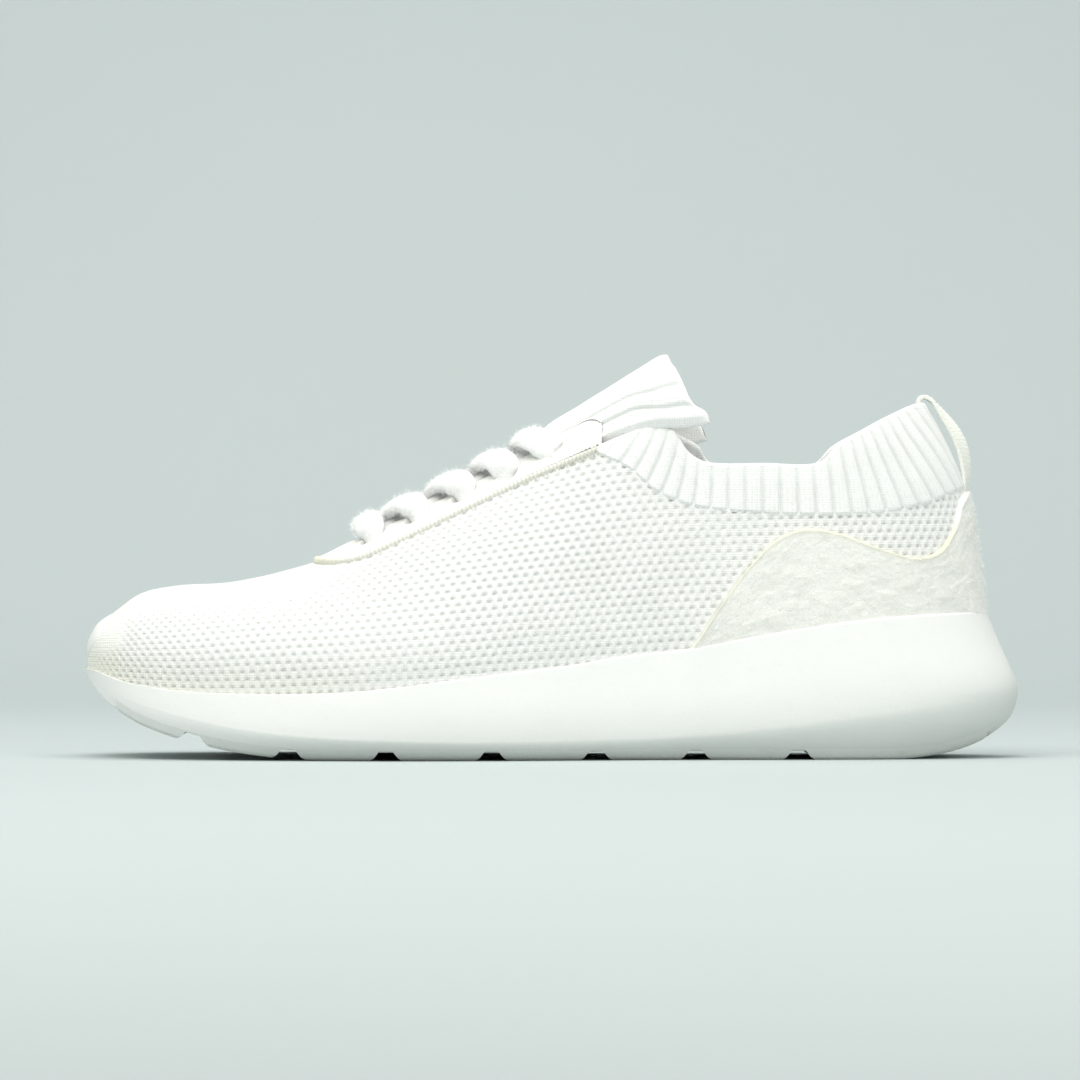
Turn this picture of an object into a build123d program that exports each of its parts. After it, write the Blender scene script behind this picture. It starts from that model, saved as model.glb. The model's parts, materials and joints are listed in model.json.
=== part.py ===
"""A low running shoe for the left foot: knitted upper, ribbed collar and tongue, laces and foam sole.

Millimetres, +Z up.  The toe points along -X, the outer (lateral) side faces -Y, and the origin lies
on the ground under the middle of the shoe.
"""

import math
import os
from bisect import bisect_right
from functools import lru_cache

from build123d import *

# ---- driving dimensions -------------------------------------------------------------------------
SHOE_LENGTH = 295.0
TOE_X = -SHOE_LENGTH / 2
HEEL_X = SHOE_LENGTH / 2

# Layers of the upper, measured inwards from the outer face of the knit.
OVERLAY_PROUD = 1.0
KNIT = 1.5
STIFFENER = 1.2
LINING = 1.0
COLLAR_PROUD = 0.4
COLLAR = 2.6
BACKING = 0.8
INSOLE_GAP = 0.3

BOARD = 2.0
INSOLE_FOAM = 4.5
INSOLE_CLOTH = 0.8

PAD_THICKNESS = 2.8
PAD_GAP_CENTRES = [-111.5, -81.5, -51.2, -18.5, 14.0, 45.0, 77.2]
PAD_GAP_LOW, PAD_GAP_HIGH = 8.6, 4.6
FIRST_PAD_X, LAST_PAD_X = -136.0, 137.0

EYELET_X = [-57.3, -43.0, -28.2, -13.2, 1.3]
EYELET_Y = 15.0
EYELET_RADIUS = 2.7
LACE_DIAMETER = 4.0
THROAT_FRONT_X = -62.0
THROAT_HALF = 9.0

TONGUE = 3.0
TONGUE_DEPTH = 8.2
TONGUE_HALF = 21.0
TONGUE_FRONT_X, TONGUE_BEND_X = -66.0, 1.5
TAB_WIDTH, TAB_THICKNESS = 7.0, 1.4
AGLET_RADIUS, AGLET_LENGTH = 1.7, 18.0

TOE_START, HEEL_START = -60.0, 70.0
TOE_POWER, HEEL_POWER = 2.6, 2.3
SPLIT_X = 20.0
FORM_BASE_Z = 6.0


# ---- smooth curves through a few hand-set knots ------------------------------------------------
def track(*knots):
    """A smooth function through (place, value) knots, level past both ends."""
    places = [place for place, _ in knots]
    values = [value for _, value in knots]
    last = len(knots) - 1
    slopes = []
    for index in range(last + 1):
        low, high = max(index - 1, 0), min(index + 1, last)
        slopes.append((values[high] - values[low]) / (places[high] - places[low]))

    def value_at(place):
        if place <= places[0]:
            return values[0]
        if place >= places[-1]:
            return values[-1]
        index = bisect_right(places, place) - 1
        span = places[index + 1] - places[index]
        part = (place - places[index]) / span
        rise = 3 * part**2 - 2 * part**3
        bend_in = part**3 - 2 * part**2 + part
        bend_out = part**3 - part**2
        straight = values[index] * (1 - rise) + values[index + 1] * rise
        return straight + span * (slopes[index] * bend_in + slopes[index + 1] * bend_out)

    return value_at


# The form that the upper is lasted on, by position along the shoe.
lateral_half = track(
    (-147, 50), (-105, 51), (-80, 51.5), (-50, 52), (-20, 48.5), (15, 40.5), (45, 36), (75, 35),
    (140, 35),
)
medial_half = track(
    (-147, 43), (-105, 45), (-80, 47), (-50, 46), (-20, 41), (15, 34), (45, 31.5), (75, 33), (140, 34),
)
centre_y = track((-147, 8), (-105, 4.5), (-60, 1), (-20, 0), (140, 0))
widest_z = track((-147, 33), (-130, 28), (-110, 27), (-60, 27), (0, 34), (40, 39), (70, 43), (140, 46))
ridge_z = track(
    (-147, 36), (-144, 41.5), (-139, 45.2), (-130, 51.5), (-118, 54), (-100, 55.3), (-77, 60.8),
    (-64, 66.5), (-50, 73.6), (-30, 84), (-10, 95), (5, 106), (20, 124), (45, 150), (70, 155),
)
arch_power = track(
    (-147, 2.2), (-100, 2.3), (-70, 2.0), (-40, 1.85), (0, 1.9), (20, 2.1), (45, 2.6), (70, 3.0),
)
arch_lean = track((-100, 0), (-60, 0.03), (-20, 0.08), (20, 0.2), (45, 0.38), (70, 0.45))
heel_back_x = track(
    (6, 137), (30, 137.2), (46, 136.2), (67, 133.6), (78, 132), (86, 130), (98, 125), (112, 117.5),
    (120, 113),
)

# Side-view lines, each a height by position along the shoe.
bed_z = track(
    (-147, 27), (-130, 19.5), (-110, 16), (-70, 14.5), (-30, 17), (0, 20.5), (30, 24.5), (65, 28), (98, 29),
    (140, 29),
)
rim_z = track(
    (-148, 31.5), (-142.7, 29.6), (-137, 25.8), (-130, 23.4), (-111, 21.2), (-70, 20.9), (-48, 22.8),
    (-16, 26.9), (3, 29.1), (22, 32.3), (44, 34.8), (66, 38.9), (95, 43.4), (120, 45.4), (150, 46.2),
)
ground_z = track(
    (-148, 28), (-146.5, 25.5), (-142, 20.3), (-137.7, 16.5), (-128.5, 11), (-115, 6.3), (-100, 2.9),
    (-85, 0.9), (-65, 0), (108, 0), (122, 1.4), (130, 3.4), (137.4, 6.6), (144, 11.5), (148, 17),
)

# The flared sole wall: how far it stands out from the form at the crease, and where the crease lies.
sole_flare = track((-148, 1.0), (-120, 2.6), (-60, 3.6), (0, 4.6), (60, 5.6), (150, 6.6))
sole_tuck = track((-148, 8), (-100, 7), (0, 6), (100, 7), (150, 9))
crease_z = track(
    (-148, 26), (-127, 17), (-90, 9), (-40, 6), (15, 6), (60, 9), (100, 14), (148, 19.6),
)
sole_heel_x = track(
    (0, 133), (6.5, 140), (12, 145), (19.6, HEEL_X), (24.4, 146.9), (35.4, 142), (46, 137.6), (54, 134),
)


# ---- the form ----------------------------------------------------------------------------------
def closing(part, power):
    """How the half-width closes to nothing towards an end of the shoe."""
    return max(1 - min(part, 1.0) ** power, 0.0) ** (1 / power)


def end_factor(x, toe_x, heel_x):
    """1 along the middle of the shoe, falling to 0 at the two ends."""
    if x < TOE_START:
        return closing((TOE_START - x) / (TOE_START - toe_x), TOE_POWER)
    if x > HEEL_START:
        return closing((x - HEEL_START) / (heel_x - HEEL_START), HEEL_POWER)
    return 1.0


def half_width(x, side, inset, toe_x, heel_x):
    """Plan half-width of the form on one side, -1 lateral and 1 medial, set in by a layer depth."""
    base = lateral_half(x) if side < 0 else medial_half(x)
    return (base - inset) * end_factor(x, toe_x, heel_x)


def arch_shrink(x, z, inset):
    """How much narrower than its widest the form is at height z."""
    rise = (z - widest_z(x)) / (ridge_z(x) - inset - widest_z(x))
    rise = min(max(rise, 0.0), 1.0)
    return (1 - arch_lean(x) * rise) * closing(rise, arch_power(x))


def front_section(x, inset):
    """Section across the shoe: an arch on straight walls, closed along the base."""
    toe_x = TOE_X + 0.6 + inset
    low = widest_z(x)
    top = max(ridge_z(x) - inset, low + 1.0)
    power, lean = arch_power(x), arch_lean(x)
    arch = []
    for degrees in range(0, 181, 15):
        side = -1 if degrees <= 90 else 1
        turn = math.radians(degrees)
        across = abs(math.cos(turn)) ** (2 / power)
        up = math.sin(turn) ** (2 / power)
        reach = half_width(x, side, inset, toe_x, HEEL_X) * across * (1 - lean * up)
        arch.append((x, centre_y(x) + side * reach, low + (top - low) * up))
    base_near = (x, arch[0][1], FORM_BASE_Z)
    base_far = (x, arch[-1][1], FORM_BASE_Z)
    edges = [Spline(*arch), Line(arch[-1], base_far), Line(base_far, base_near), Line(base_near, arch[0])]
    return Wire(edges)


def rear_section(z, inset):
    """Level section of the back of the form: sides, rounded heel and a straight front edge."""
    heel_x = heel_back_x(z) - inset
    around = []
    for side in (-1, 1):
        stretch = [SPLIT_X, 32.0, 45.0, 58.0]
        places = [(x, 1.0) for x in stretch]
        for degrees in range(90, 0, -15):
            turn = math.radians(degrees)
            x = HEEL_START + (heel_x - HEEL_START) * math.cos(turn) ** (2 / HEEL_POWER)
            places.append((x, math.sin(turn) ** (2 / HEEL_POWER)))
        points = []
        for x, factor in places:
            base = lateral_half(x) if side < 0 else medial_half(x)
            y = side * (base - inset) * factor * arch_shrink(x, z, inset)
            points.append((x, centre_y(x) + y, z))
        around += points if side < 0 else [(heel_x, 0.0, z)] + points[::-1]
    return Wire([Spline(*around), Line(around[-1], around[0])])


REAR_LEVELS = [FORM_BASE_Z, 28, 44, 56, 66, 76, 86, 96, 106, 116]
FRONT_STATIONS = [-144, -140, -134, -126, -116, -104, -90, -77, -66, -54, -40, -26, -12, 0, 10, SPLIT_X]


@lru_cache(maxsize=None)
def form_front(inset):
    """Solid of the toe and instep, shrunk by a layer depth."""
    tip = TOE_X + 1.0 + inset
    stations = [tip] + [x for x in FRONT_STATIONS if x > tip + 0.8]
    return Solid.make_loft([front_section(x, inset) for x in stations])


@lru_cache(maxsize=None)
def form_rear(inset):
    """Solid of the ankle and heel, shrunk by a layer depth."""
    return Solid.make_loft([rear_section(z, inset) for z in REAR_LEVELS])


def layer(outer, inner):
    """The front and rear shells between two depths of the form."""
    return [form_front(outer) - form_front(inner), form_rear(outer) - form_rear(inner)]


# ---- cutting tools -----------------------------------------------------------------------------
def side_prism(outline, width=200.0):
    """A closed (x, z) outline carried across the whole width of the shoe."""
    face = make_face(Plane.XZ * outline)
    return extrude(face, amount=width / 2, both=True)


def strip_prism(low, high, start, end, steps=24):
    """The band between two side-view height functions."""
    xs = [start + (end - start) * index / steps for index in range(steps + 1)]
    under = Spline(*[(x, low(x)) for x in xs])
    over = Spline(*[(x, high(x)) for x in reversed(xs)])
    ends = [Line(under @ 1, over @ 0), Line(over @ 1, under @ 0)]
    return side_prism(Wire([under, ends[0], over, ends[1]]))


def above(base, lift=0.0, top=170.0):
    """Everything higher than a side-view line."""
    return strip_prism(lambda x: base(x) + lift, lambda x: top, TOE_X - 6, HEEL_X + 6)


def plan_prism(outline, low=-5.0, high=170.0):
    """A closed plan outline carried straight up."""
    return extrude(Plane.XY.offset(low) * make_face(outline), amount=high - low)


# ---- side-view outlines ------------------------------------------------------------------------
RIB_LINE = [
    (15.5, 95.6), (24, 91.5), (33, 84), (44, 79.6), (63, 77.4), (88, 76.6), (103, 77.4), (117, 80),
    (126, 83.5), (142, 90),
]
TOP_LINE = [
    (15.5, 99.0), (24, 102.4), (31, 104.3), (38, 103.4), (43, 96.4), (49, 93.1), (67, 92.8), (84, 93),
    (90, 98.6), (99, 103.6), (108, 108.4), (117.5, 112.4), (130, 113.2),
]
STAY_LOW_LINE = [(-73.5, 57.5), (-66, 59.6), (-50, 66.6), (-28, 77.2), (-6, 87.6), (15.4, 96.6)]
HEEL_PIECE_LINE = [
    (43, 34.2), (48, 41), (53.5, 49.5), (62, 60.5), (70, 68.6), (79, 72.2), (90, 70.8), (102, 66.4),
    (113, 63.4), (121, 65), (126, 72), (128.5, 81), (133, 86.4),
]
COUNTER_LINE = [(58, 28), (66, 44), (78, 56), (92, 62), (110, 66), (140, 68)]
TOE_CAP_LINE = [(-139, 58), (-139.2, 46), (-141.2, 38), (-143.4, 31)]
TONGUE_BACK_LINE = [(36, 128.2), (40.8, 117.7), (43.2, 111.4), (48.4, 106.4)]
TONGUE_WING_LINE = [(48.4, 106.4), (41, 107.6), (34, 107.8), (26, 105.6), (17, 101.8), (9, 99.0)]


def curve_outline(curve, corners):
    """A closed outline: a smooth curve, then straight sides through the corners back to its start."""
    path = [curve[-1]] + list(corners) + [curve[0]]
    sides = [Line(first, second) for first, second in zip(path, path[1:])]
    return Wire([Spline(*curve)] + sides)


def box_between(x_low, x_high, y_half):
    """An upright block spanning a stretch of the shoe."""
    return Pos((x_low + x_high) / 2, 0, 60) * Box(x_high - x_low, 2 * y_half, 240)


def within(solids, *masks):
    """Solids kept only where they lie inside every mask."""
    for mask in masks:
        solids = [solid & mask for solid in solids]
    return solids


def merge(pieces):
    """One solid from pieces that touch along a flat face."""
    solids = [solid for piece in pieces for solid in piece.solids() if solid.volume > 1]
    return solids[0].fuse(*solids[1:]) if len(solids) > 1 else solids[0]


# ---- the instep surface, for the eyelets and the lace ------------------------------------------
def face_height(x, y):
    """Height of the form over a plan point on the instep."""
    offset = y - centre_y(x)
    half = half_width(x, math.copysign(1, offset), 0, TOE_X, HEEL_X)
    low, high = 0.0, 1.0
    for _ in range(40):
        rise = (low + high) / 2
        if half * (1 - arch_lean(x) * rise) * closing(rise, arch_power(x)) > abs(offset):
            low = rise
        else:
            high = rise
    return widest_z(x) + (ridge_z(x) - widest_z(x)) * low


def face_normal(x, y):
    """Outward direction of the form over a plan point on the instep."""
    step = 1.5
    along = (face_height(x + step, y) - face_height(x - step, y)) / (2 * step)
    across = (face_height(x, y + step) - face_height(x, y - step)) / (2 * step)
    return Vector(-along, -across, 1).normalized()


def face_point(x, y, lift):
    """A point over or under the instep, measured along the outward direction."""
    return Vector(x, y, face_height(x, y)) + face_normal(x, y) * lift


def throat_slot():
    """The throat opening, rounded in front and spreading towards the ankle."""
    edge = [
        (32, 29), (20, 22.5), (11, 14.5), (3, 10.6), (-10, THROAT_HALF + 0.4), (-46, THROAT_HALF), (-56, 8),
    ]
    near = [(x, -y) for x, y in edge] + [(THROAT_FRONT_X, 0.5)] + [(x, y) for x, y in reversed(edge)]
    return plan_prism(Wire([Spline(*near), Line(near[-1], near[0])]))


def eyelet_pins(radius):
    """A pin along every eyelet axis, as long as the layers there are thick."""
    pins = []
    for x in EYELET_X:
        for y in (-EYELET_Y, EYELET_Y):
            outward = face_normal(x, y)
            pins.append(Solid.make_cylinder(radius, 6.4, Plane(face_point(x, y, -3.6), z_dir=outward)))
    return pins


# ---- the upper ---------------------------------------------------------------------------------
SLOT = throat_slot()
PINS = eyelet_pins(EYELET_RADIUS)
LACE_CHANNEL = box_between(-67, 14, 21)
ABOVE_BED = above(bed_z)
ABOVE_BOARD = above(bed_z, BOARD)
LOWER_CORNERS = [(160, -20), (-160, -20), (-160, 118), (4, 118)]
BELOW_TOP = side_prism(curve_outline(TOP_LINE, [(160, 113)] + LOWER_CORNERS))
BELOW_RIB = side_prism(curve_outline(RIB_LINE, [(160, 90)] + LOWER_CORNERS))
LINER_FACE = KNIT + STIFFENER + 0.1
FOOT_FACE = LINER_FACE + LINING


def knit_upper():
    """The one-piece knitted vamp and quarters, with its throat and eyelet holes."""
    front, rear = within(layer(0, KNIT), ABOVE_BED, BELOW_RIB)
    halves = [merge([front - SLOT - PINS]), merge([rear - SLOT])]
    return Compound(children=halves)


def lining():
    """The bootie lining from the board to the rib line, open over the lace channel."""
    front, rear = within(layer(LINER_FACE, FOOT_FACE), ABOVE_BOARD, BELOW_RIB)
    return merge([front - LACE_CHANNEL, rear])


def collar_rib():
    """The ribbed cuff round the ankle, standing on the knit's upper edge."""
    rear = (form_rear(-COLLAR_PROUD) - form_rear(COLLAR)) & BELOW_TOP
    return merge([rear - BELOW_RIB])


def eyestay():
    """The smooth horseshoe round the throat that carries the eyelets."""
    above_line = side_prism(curve_outline(STAY_LOW_LINE, [(15.4, 140), (-73.5, 140)]))
    band = (form_front(-OVERLAY_PROUD) - form_front(0)) & above_line
    return merge([band - SLOT - PINS])


def eyestay_backing():
    """The reinforcing tape under the knit, behind the eyelets."""
    depth = KNIT + 0.1
    tape = (form_front(depth) - form_front(depth + BACKING)) & box_between(-66, 12, 20.5)
    top_only = above(lambda x: widest_z(x) + 8)
    return merge([(tape & top_only) - SLOT - PINS])


def toe_cap():
    """The thin fused film over the toe tip."""
    tip_side = side_prism(curve_outline(TOE_CAP_LINE, [(-160, 31), (-160, 58)]))
    film = (form_front(-0.5) - form_front(0)) & tip_side & above(rim_z, 0.1)
    return merge([film])


def toe_puff():
    """The stiffener that holds the toe up."""
    shell = form_front(KNIT + 0.05) - form_front(KNIT + STIFFENER)
    return merge([shell & box_between(-150, -114, 60) & ABOVE_BOARD])


def heel_counter():
    """The stiff cup between knit and lining round the heel."""
    shell = form_rear(KNIT + 0.05) - form_rear(KNIT + STIFFENER)
    low_side = side_prism(curve_outline(COUNTER_LINE, [(140, 20), (58, 20)]))
    return merge([shell & low_side & ABOVE_BOARD])


def heel_overlay():
    """The rough outer heel piece, wrapped from side to side round the back."""
    shell = form_rear(-OVERLAY_PROUD) - form_rear(0)
    low_side = side_prism(curve_outline(HEEL_PIECE_LINE, [(150, 86.4), (150, 20), (43, 20)]))
    return merge([shell & low_side & above(rim_z, 0.1)])


def tongue_base():
    """The part of the tongue that lies under the laces."""
    sheet = form_front(TONGUE_DEPTH) - form_front(TONGUE_DEPTH + TONGUE)
    top_only = above(lambda x: widest_z(x) + 4)
    return merge([sheet & box_between(TONGUE_FRONT_X, TONGUE_BEND_X, TONGUE_HALF) & top_only])


def tongue_section(x, half, edge, crown):
    """An arched slice of the free end of the tongue."""
    outer, inner = [], []
    for degrees in range(0, 181, 30):
        turn = math.radians(degrees)
        outer.append((x, -half * math.cos(turn), edge + (crown - edge) * math.sin(turn)))
        reach, rise = half - TONGUE, crown - edge - TONGUE
        inner.append((x, -reach * math.cos(turn), edge + rise * math.sin(turn)))
    ends = [Line(outer[-1], inner[-1]), Line(inner[0], outer[0])]
    return Wire([Spline(*outer), ends[0], Spline(*inner[::-1]), ends[1]])


def tongue_top():
    """The free ribbed end of the tongue with its two wings."""
    slices = [
        (8.0, 11.5, 95, 110.6), (15, 16.5, 96, 115.2), (25, 22, 99, 121.2), (36, 26, 100, 128),
        (50, 28.5, 100, 137),
    ]
    sheet = Solid.make_loft([tongue_section(*values) for values in slices])
    back = Spline(*TONGUE_BACK_LINE)
    wing = Spline(*TONGUE_WING_LINE)
    corners = [TONGUE_WING_LINE[-1], (5, 94), (5, 150), (36, 150), TONGUE_BACK_LINE[0]]
    sides = [Line(first, second) for first, second in zip(corners, corners[1:])]
    return merge([sheet & side_prism(Wire([back, wing] + sides))])


def pull_tab():
    """The webbing loop over the back of the collar."""
    centre = [
        (132.6, 87), (133.0, 92), (132.2, 98), (129.4, 104.6), (124.9, 110.4), (120.3, 114.5),
        (117.6, 115.7), (115.6, 114.6),
    ]
    outer, inner = [], []
    for index, (x, z) in enumerate(centre):
        before, after = centre[max(index - 1, 0)], centre[min(index + 1, len(centre) - 1)]
        run = Vector(after[0] - before[0], after[1] - before[1], 0).normalized()
        outer.append((x + run.Y * TAB_THICKNESS / 2, z - run.X * TAB_THICKNESS / 2))
        inner.append((x - run.Y * TAB_THICKNESS / 2, z + run.X * TAB_THICKNESS / 2))
    ends = [Line(outer[-1], inner[-1]), Line(inner[0], outer[0])]
    return side_prism(Wire([Spline(*outer), ends[0], Spline(*inner[::-1]), ends[1]]), TAB_WIDTH)


# ---- inside the shoe ---------------------------------------------------------------------------
def footbed_layer(inset, low, high):
    """A layer that fills the form's plan between two heights over the midsole bed."""
    strip = strip_prism(lambda x: bed_z(x) + low, lambda x: bed_z(x) + high, TOE_X - 6, HEEL_X + 6)
    return merge(within([form_front(inset), form_rear(inset)], strip))


# ---- the sole ----------------------------------------------------------------------------------
def sole_reach(x, z):
    """How far the sole stands out from the form: widest at the crease, tucked in below."""
    crease, flare = crease_z(x), sole_flare(x)
    if z > crease:
        return flare - (flare - 0.9) * (z - crease) / (rim_z(x) - crease)
    return flare - sole_tuck(x) * ((crease - z) / crease) ** 1.5


def turned_x(start, end, power, degrees):
    """Place along the shoe of a point that has turned so far round the toe or heel."""
    return start + (end - start) * math.cos(math.radians(degrees)) ** (2 / power)


def sole_section(z):
    """Level outline of the sole unit."""
    heel_x = sole_heel_x(z)
    halves = []
    for side in (-1, 1):
        xs = [turned_x(HEEL_START, heel_x, HEEL_POWER, degrees) for degrees in (18, 36, 54, 72)]
        xs += [70, 45, 20, -5, -30, -60]
        xs += [turned_x(TOE_START, TOE_X, TOE_POWER, degrees) for degrees in (72, 54, 36, 18)]
        points = []
        for x in xs:
            half = half_width(x, side, -sole_reach(x, z), TOE_X - 0.4, heel_x)
            points.append((x, centre_y(x) + side * half, z))
        halves.append(points)
    loop = [(heel_x, 0.0, z)] + halves[0] + [(TOE_X, centre_y(TOE_X), z)] + halves[1][::-1]
    return Wire([Spline(*loop, periodic=True)])


SOLE_LEVELS = [-1, 5, 11, 17, 23, 30, 38, 46, 54]
ABOVE_GROUND = above(ground_z, -0.05) & Pos(0, 0, 90) * Box(400, 200, 180)
BELOW_RIM = strip_prism(lambda x: -10, rim_z, TOE_X - 6, HEEL_X + 6)
SOLE_BLOCK = Solid.make_loft([sole_section(z) for z in SOLE_LEVELS]) & ABOVE_GROUND & BELOW_RIM


def pad_ends():
    """Start and end of each tread pad along its lower face."""
    half_gap = PAD_GAP_LOW / 2
    starts = [FIRST_PAD_X] + [gap + half_gap for gap in PAD_GAP_CENTRES]
    ends = [gap - half_gap for gap in PAD_GAP_CENTRES] + [LAST_PAD_X]
    return list(zip(starts, ends))


def pad_block(start, end):
    """The wedge-ended space that one tread pad fills."""
    lean = (PAD_GAP_LOW - PAD_GAP_HIGH) / 2 / PAD_THICKNESS
    corners = []
    for x, way in ((start, 1), (end, -1)):
        ground = ground_z(x)
        corners += [(x + way * lean * drop, ground - drop) for drop in (1.0, -PAD_THICKNESS - 0.6)]
    near_low, near_high, far_low, far_high = [Vector(*point) for point in corners]
    return side_prism(Wire.make_polygon([near_low, far_low, far_high, near_high]))


PAD_BAND = strip_prism(
    lambda x: ground_z(x) - 5, lambda x: ground_z(x) + PAD_THICKNESS, FIRST_PAD_X, LAST_PAD_X
)


def outsole_pads():
    """The tread pads, one for each block of the sole."""
    return [merge([SOLE_BLOCK & PAD_BAND & pad_block(start, end)]) for start, end in pad_ends()]


def midsole():
    """The foam sole unit with its bed for the upper."""
    bed = within([form_front(0), form_rear(0)], ABOVE_BED)
    return merge([SOLE_BLOCK - PAD_BAND - bed[0] - bed[1]])


# ---- the lace ----------------------------------------------------------------------------------
def crossing(index, side, over):
    """From under one eyelet, across the throat, to over the next eyelet on the other side."""
    x0, x1 = EYELET_X[index], EYELET_X[index + 1]
    pitch = x1 - x0
    lift = 2.4 if over else -2.2
    return [
        face_point(x0, side * EYELET_Y, -5.0),
        face_point(x0 + 0.22 * pitch, side * 7.0, -4.2),
        face_point(x0 + 0.5 * pitch, 0.0, -0.6 + lift),
        face_point(x0 + 0.82 * pitch, -side * 8.5, 4.4),
        face_point(x1, -side * EYELET_Y, 4.6),
    ]


def tail(side):
    """From under the last eyelet, down inside the quarter and forward along the edge of the insole."""
    inside = [
        (8, 16.5, 86), (7, 20.5, 74), (-2, 25.5, 61), (-14, 30.5, 47), (-30, 34, 35), (-48, 36, 28.5),
        (-66, 36.5, 26), (-82, 35.5, 26.5),
    ]
    under_eyelet = face_point(EYELET_X[-1], side * EYELET_Y, -5.0)
    return [under_eyelet] + [Vector(x, side * y, z) for x, y, z in inside]


def half_lace(side):
    """One half of the lace, from the bottom bar to its end."""
    route = [face_point(EYELET_X[0], side * EYELET_Y, 4.6)]
    for index in range(len(EYELET_X) - 1):
        over = side * (-1) ** index > 0
        route += crossing(index, side * (-1) ** index, over)
    return route + tail(side * (-1) ** (len(EYELET_X) - 1))


def lace_route():
    """The whole lace: up one side, across the bottom bar and up the other."""
    first_x = EYELET_X[0]
    bar = [face_point(first_x - 1.5, -4.5, 4.2), face_point(first_x - 1.5, 4.5, 4.4)]
    return half_lace(-1)[::-1] + bar + half_lace(1)


def corner_radii(route):
    """The largest even arcs that the runs on either side of each corner allow."""
    radii = []
    for before, corner, after in zip(route, route[1:], route[2:]):
        first, second = corner - before, after - corner
        turn = math.radians(first.get_angle(second))
        radii.append(0.45 * min(first.length, second.length) / math.tan(turn / 2))
    return radii


def lace_parts():
    """The lace tube and its two tips."""
    route = lace_route()
    radii = corner_radii(route)
    path = FilletPolyline(*route, radius=radii)
    print("lace length", round(path.length, 1), "smallest arc", round(min(radii), 1))
    circle = Plane(path @ 0, z_dir=path % 0) * Circle(LACE_DIAMETER / 2)
    tube = sweep(circle, path=path)
    section = math.pi * LACE_DIAMETER**2 / 4
    print("lace volume over section times length", round(tube.volume / (section * path.length), 4))
    tips = [
        Solid.make_cylinder(AGLET_RADIUS, AGLET_LENGTH, Plane(path @ 0, z_dir=-(path % 0))),
        Solid.make_cylinder(AGLET_RADIUS, AGLET_LENGTH, Plane(path @ 1, z_dir=path % 1)),
    ]
    return tube, tips


# ---- writing the sub-parts ---------------------------------------------------------------------
def build():
    """Every sub-part by its node name."""
    insole_face = FOOT_FACE + INSOLE_GAP
    cloth_low = BOARD + INSOLE_FOAM
    parts = {
        "midsole": midsole(),
        "strobel_board": footbed_layer(KNIT, 0, BOARD),
        "insole_foam": footbed_layer(insole_face, BOARD, cloth_low),
        "insole_cloth": footbed_layer(insole_face, cloth_low, cloth_low + INSOLE_CLOTH),
        "knit_upper": knit_upper(),
        "lining": lining(),
        "collar_rib": collar_rib(),
        "eyestay": eyestay(),
        "eyestay_backing": eyestay_backing(),
        "toe_cap": toe_cap(),
        "toe_puff": toe_puff(),
        "heel_counter": heel_counter(),
        "heel_overlay": heel_overlay(),
        "tongue_base": tongue_base(),
        "tongue_top": tongue_top(),
        "pull_tab": pull_tab(),
    }
    for number, pad in enumerate(outsole_pads(), start=1):
        parts[f"outsole_pad_{number}"] = pad
    lace, tips = lace_parts()
    parts["lace"] = lace
    parts["lace_tip_lateral"], parts["lace_tip_medial"] = tips
    return parts


os.makedirs("parts", exist_ok=True)
for name, shape in build().items():
    export_step(shape, f"parts/{name}.step")
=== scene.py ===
"""Looks of the running shoe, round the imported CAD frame.  Lengths are in millimetres until a mesh is made."""
import json
import math

import bmesh
import bpy
import numpy as np
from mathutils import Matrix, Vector

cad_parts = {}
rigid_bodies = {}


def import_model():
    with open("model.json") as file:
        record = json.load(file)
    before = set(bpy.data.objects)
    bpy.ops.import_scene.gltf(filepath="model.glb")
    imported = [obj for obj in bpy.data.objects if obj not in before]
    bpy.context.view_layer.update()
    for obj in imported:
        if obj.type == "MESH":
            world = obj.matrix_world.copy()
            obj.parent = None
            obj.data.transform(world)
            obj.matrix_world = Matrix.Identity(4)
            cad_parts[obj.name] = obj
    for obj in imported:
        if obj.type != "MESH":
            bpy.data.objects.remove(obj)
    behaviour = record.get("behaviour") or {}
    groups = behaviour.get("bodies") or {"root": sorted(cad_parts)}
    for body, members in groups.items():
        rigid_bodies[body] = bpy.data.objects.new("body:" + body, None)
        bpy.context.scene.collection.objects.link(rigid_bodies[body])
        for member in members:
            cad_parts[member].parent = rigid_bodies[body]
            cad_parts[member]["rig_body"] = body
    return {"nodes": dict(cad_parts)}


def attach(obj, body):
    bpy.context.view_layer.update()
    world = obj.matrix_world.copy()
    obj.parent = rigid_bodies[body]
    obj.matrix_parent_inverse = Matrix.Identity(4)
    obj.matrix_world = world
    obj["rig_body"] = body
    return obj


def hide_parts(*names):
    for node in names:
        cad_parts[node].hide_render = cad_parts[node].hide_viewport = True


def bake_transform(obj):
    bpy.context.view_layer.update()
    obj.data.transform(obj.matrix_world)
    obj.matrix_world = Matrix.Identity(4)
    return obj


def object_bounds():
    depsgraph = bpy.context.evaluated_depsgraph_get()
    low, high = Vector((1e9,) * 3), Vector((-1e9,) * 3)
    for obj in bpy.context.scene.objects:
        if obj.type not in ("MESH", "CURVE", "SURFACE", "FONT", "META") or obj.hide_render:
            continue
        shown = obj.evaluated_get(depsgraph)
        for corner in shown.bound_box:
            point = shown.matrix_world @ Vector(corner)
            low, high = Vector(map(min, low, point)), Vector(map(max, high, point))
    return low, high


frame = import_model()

MM = 0.001
CAD_BOX = [list(corner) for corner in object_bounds()]
FLOOR_Z = CAD_BOX[0][2] / MM
TOE_X = CAD_BOX[0][0] / MM
HEEL_X = CAD_BOX[1][0] / MM



def unit(vectors, least=1e-9):
    """Vectors brought to unit length."""
    return vectors / np.maximum(np.linalg.norm(vectors, axis=-1, keepdims=True), least)


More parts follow.
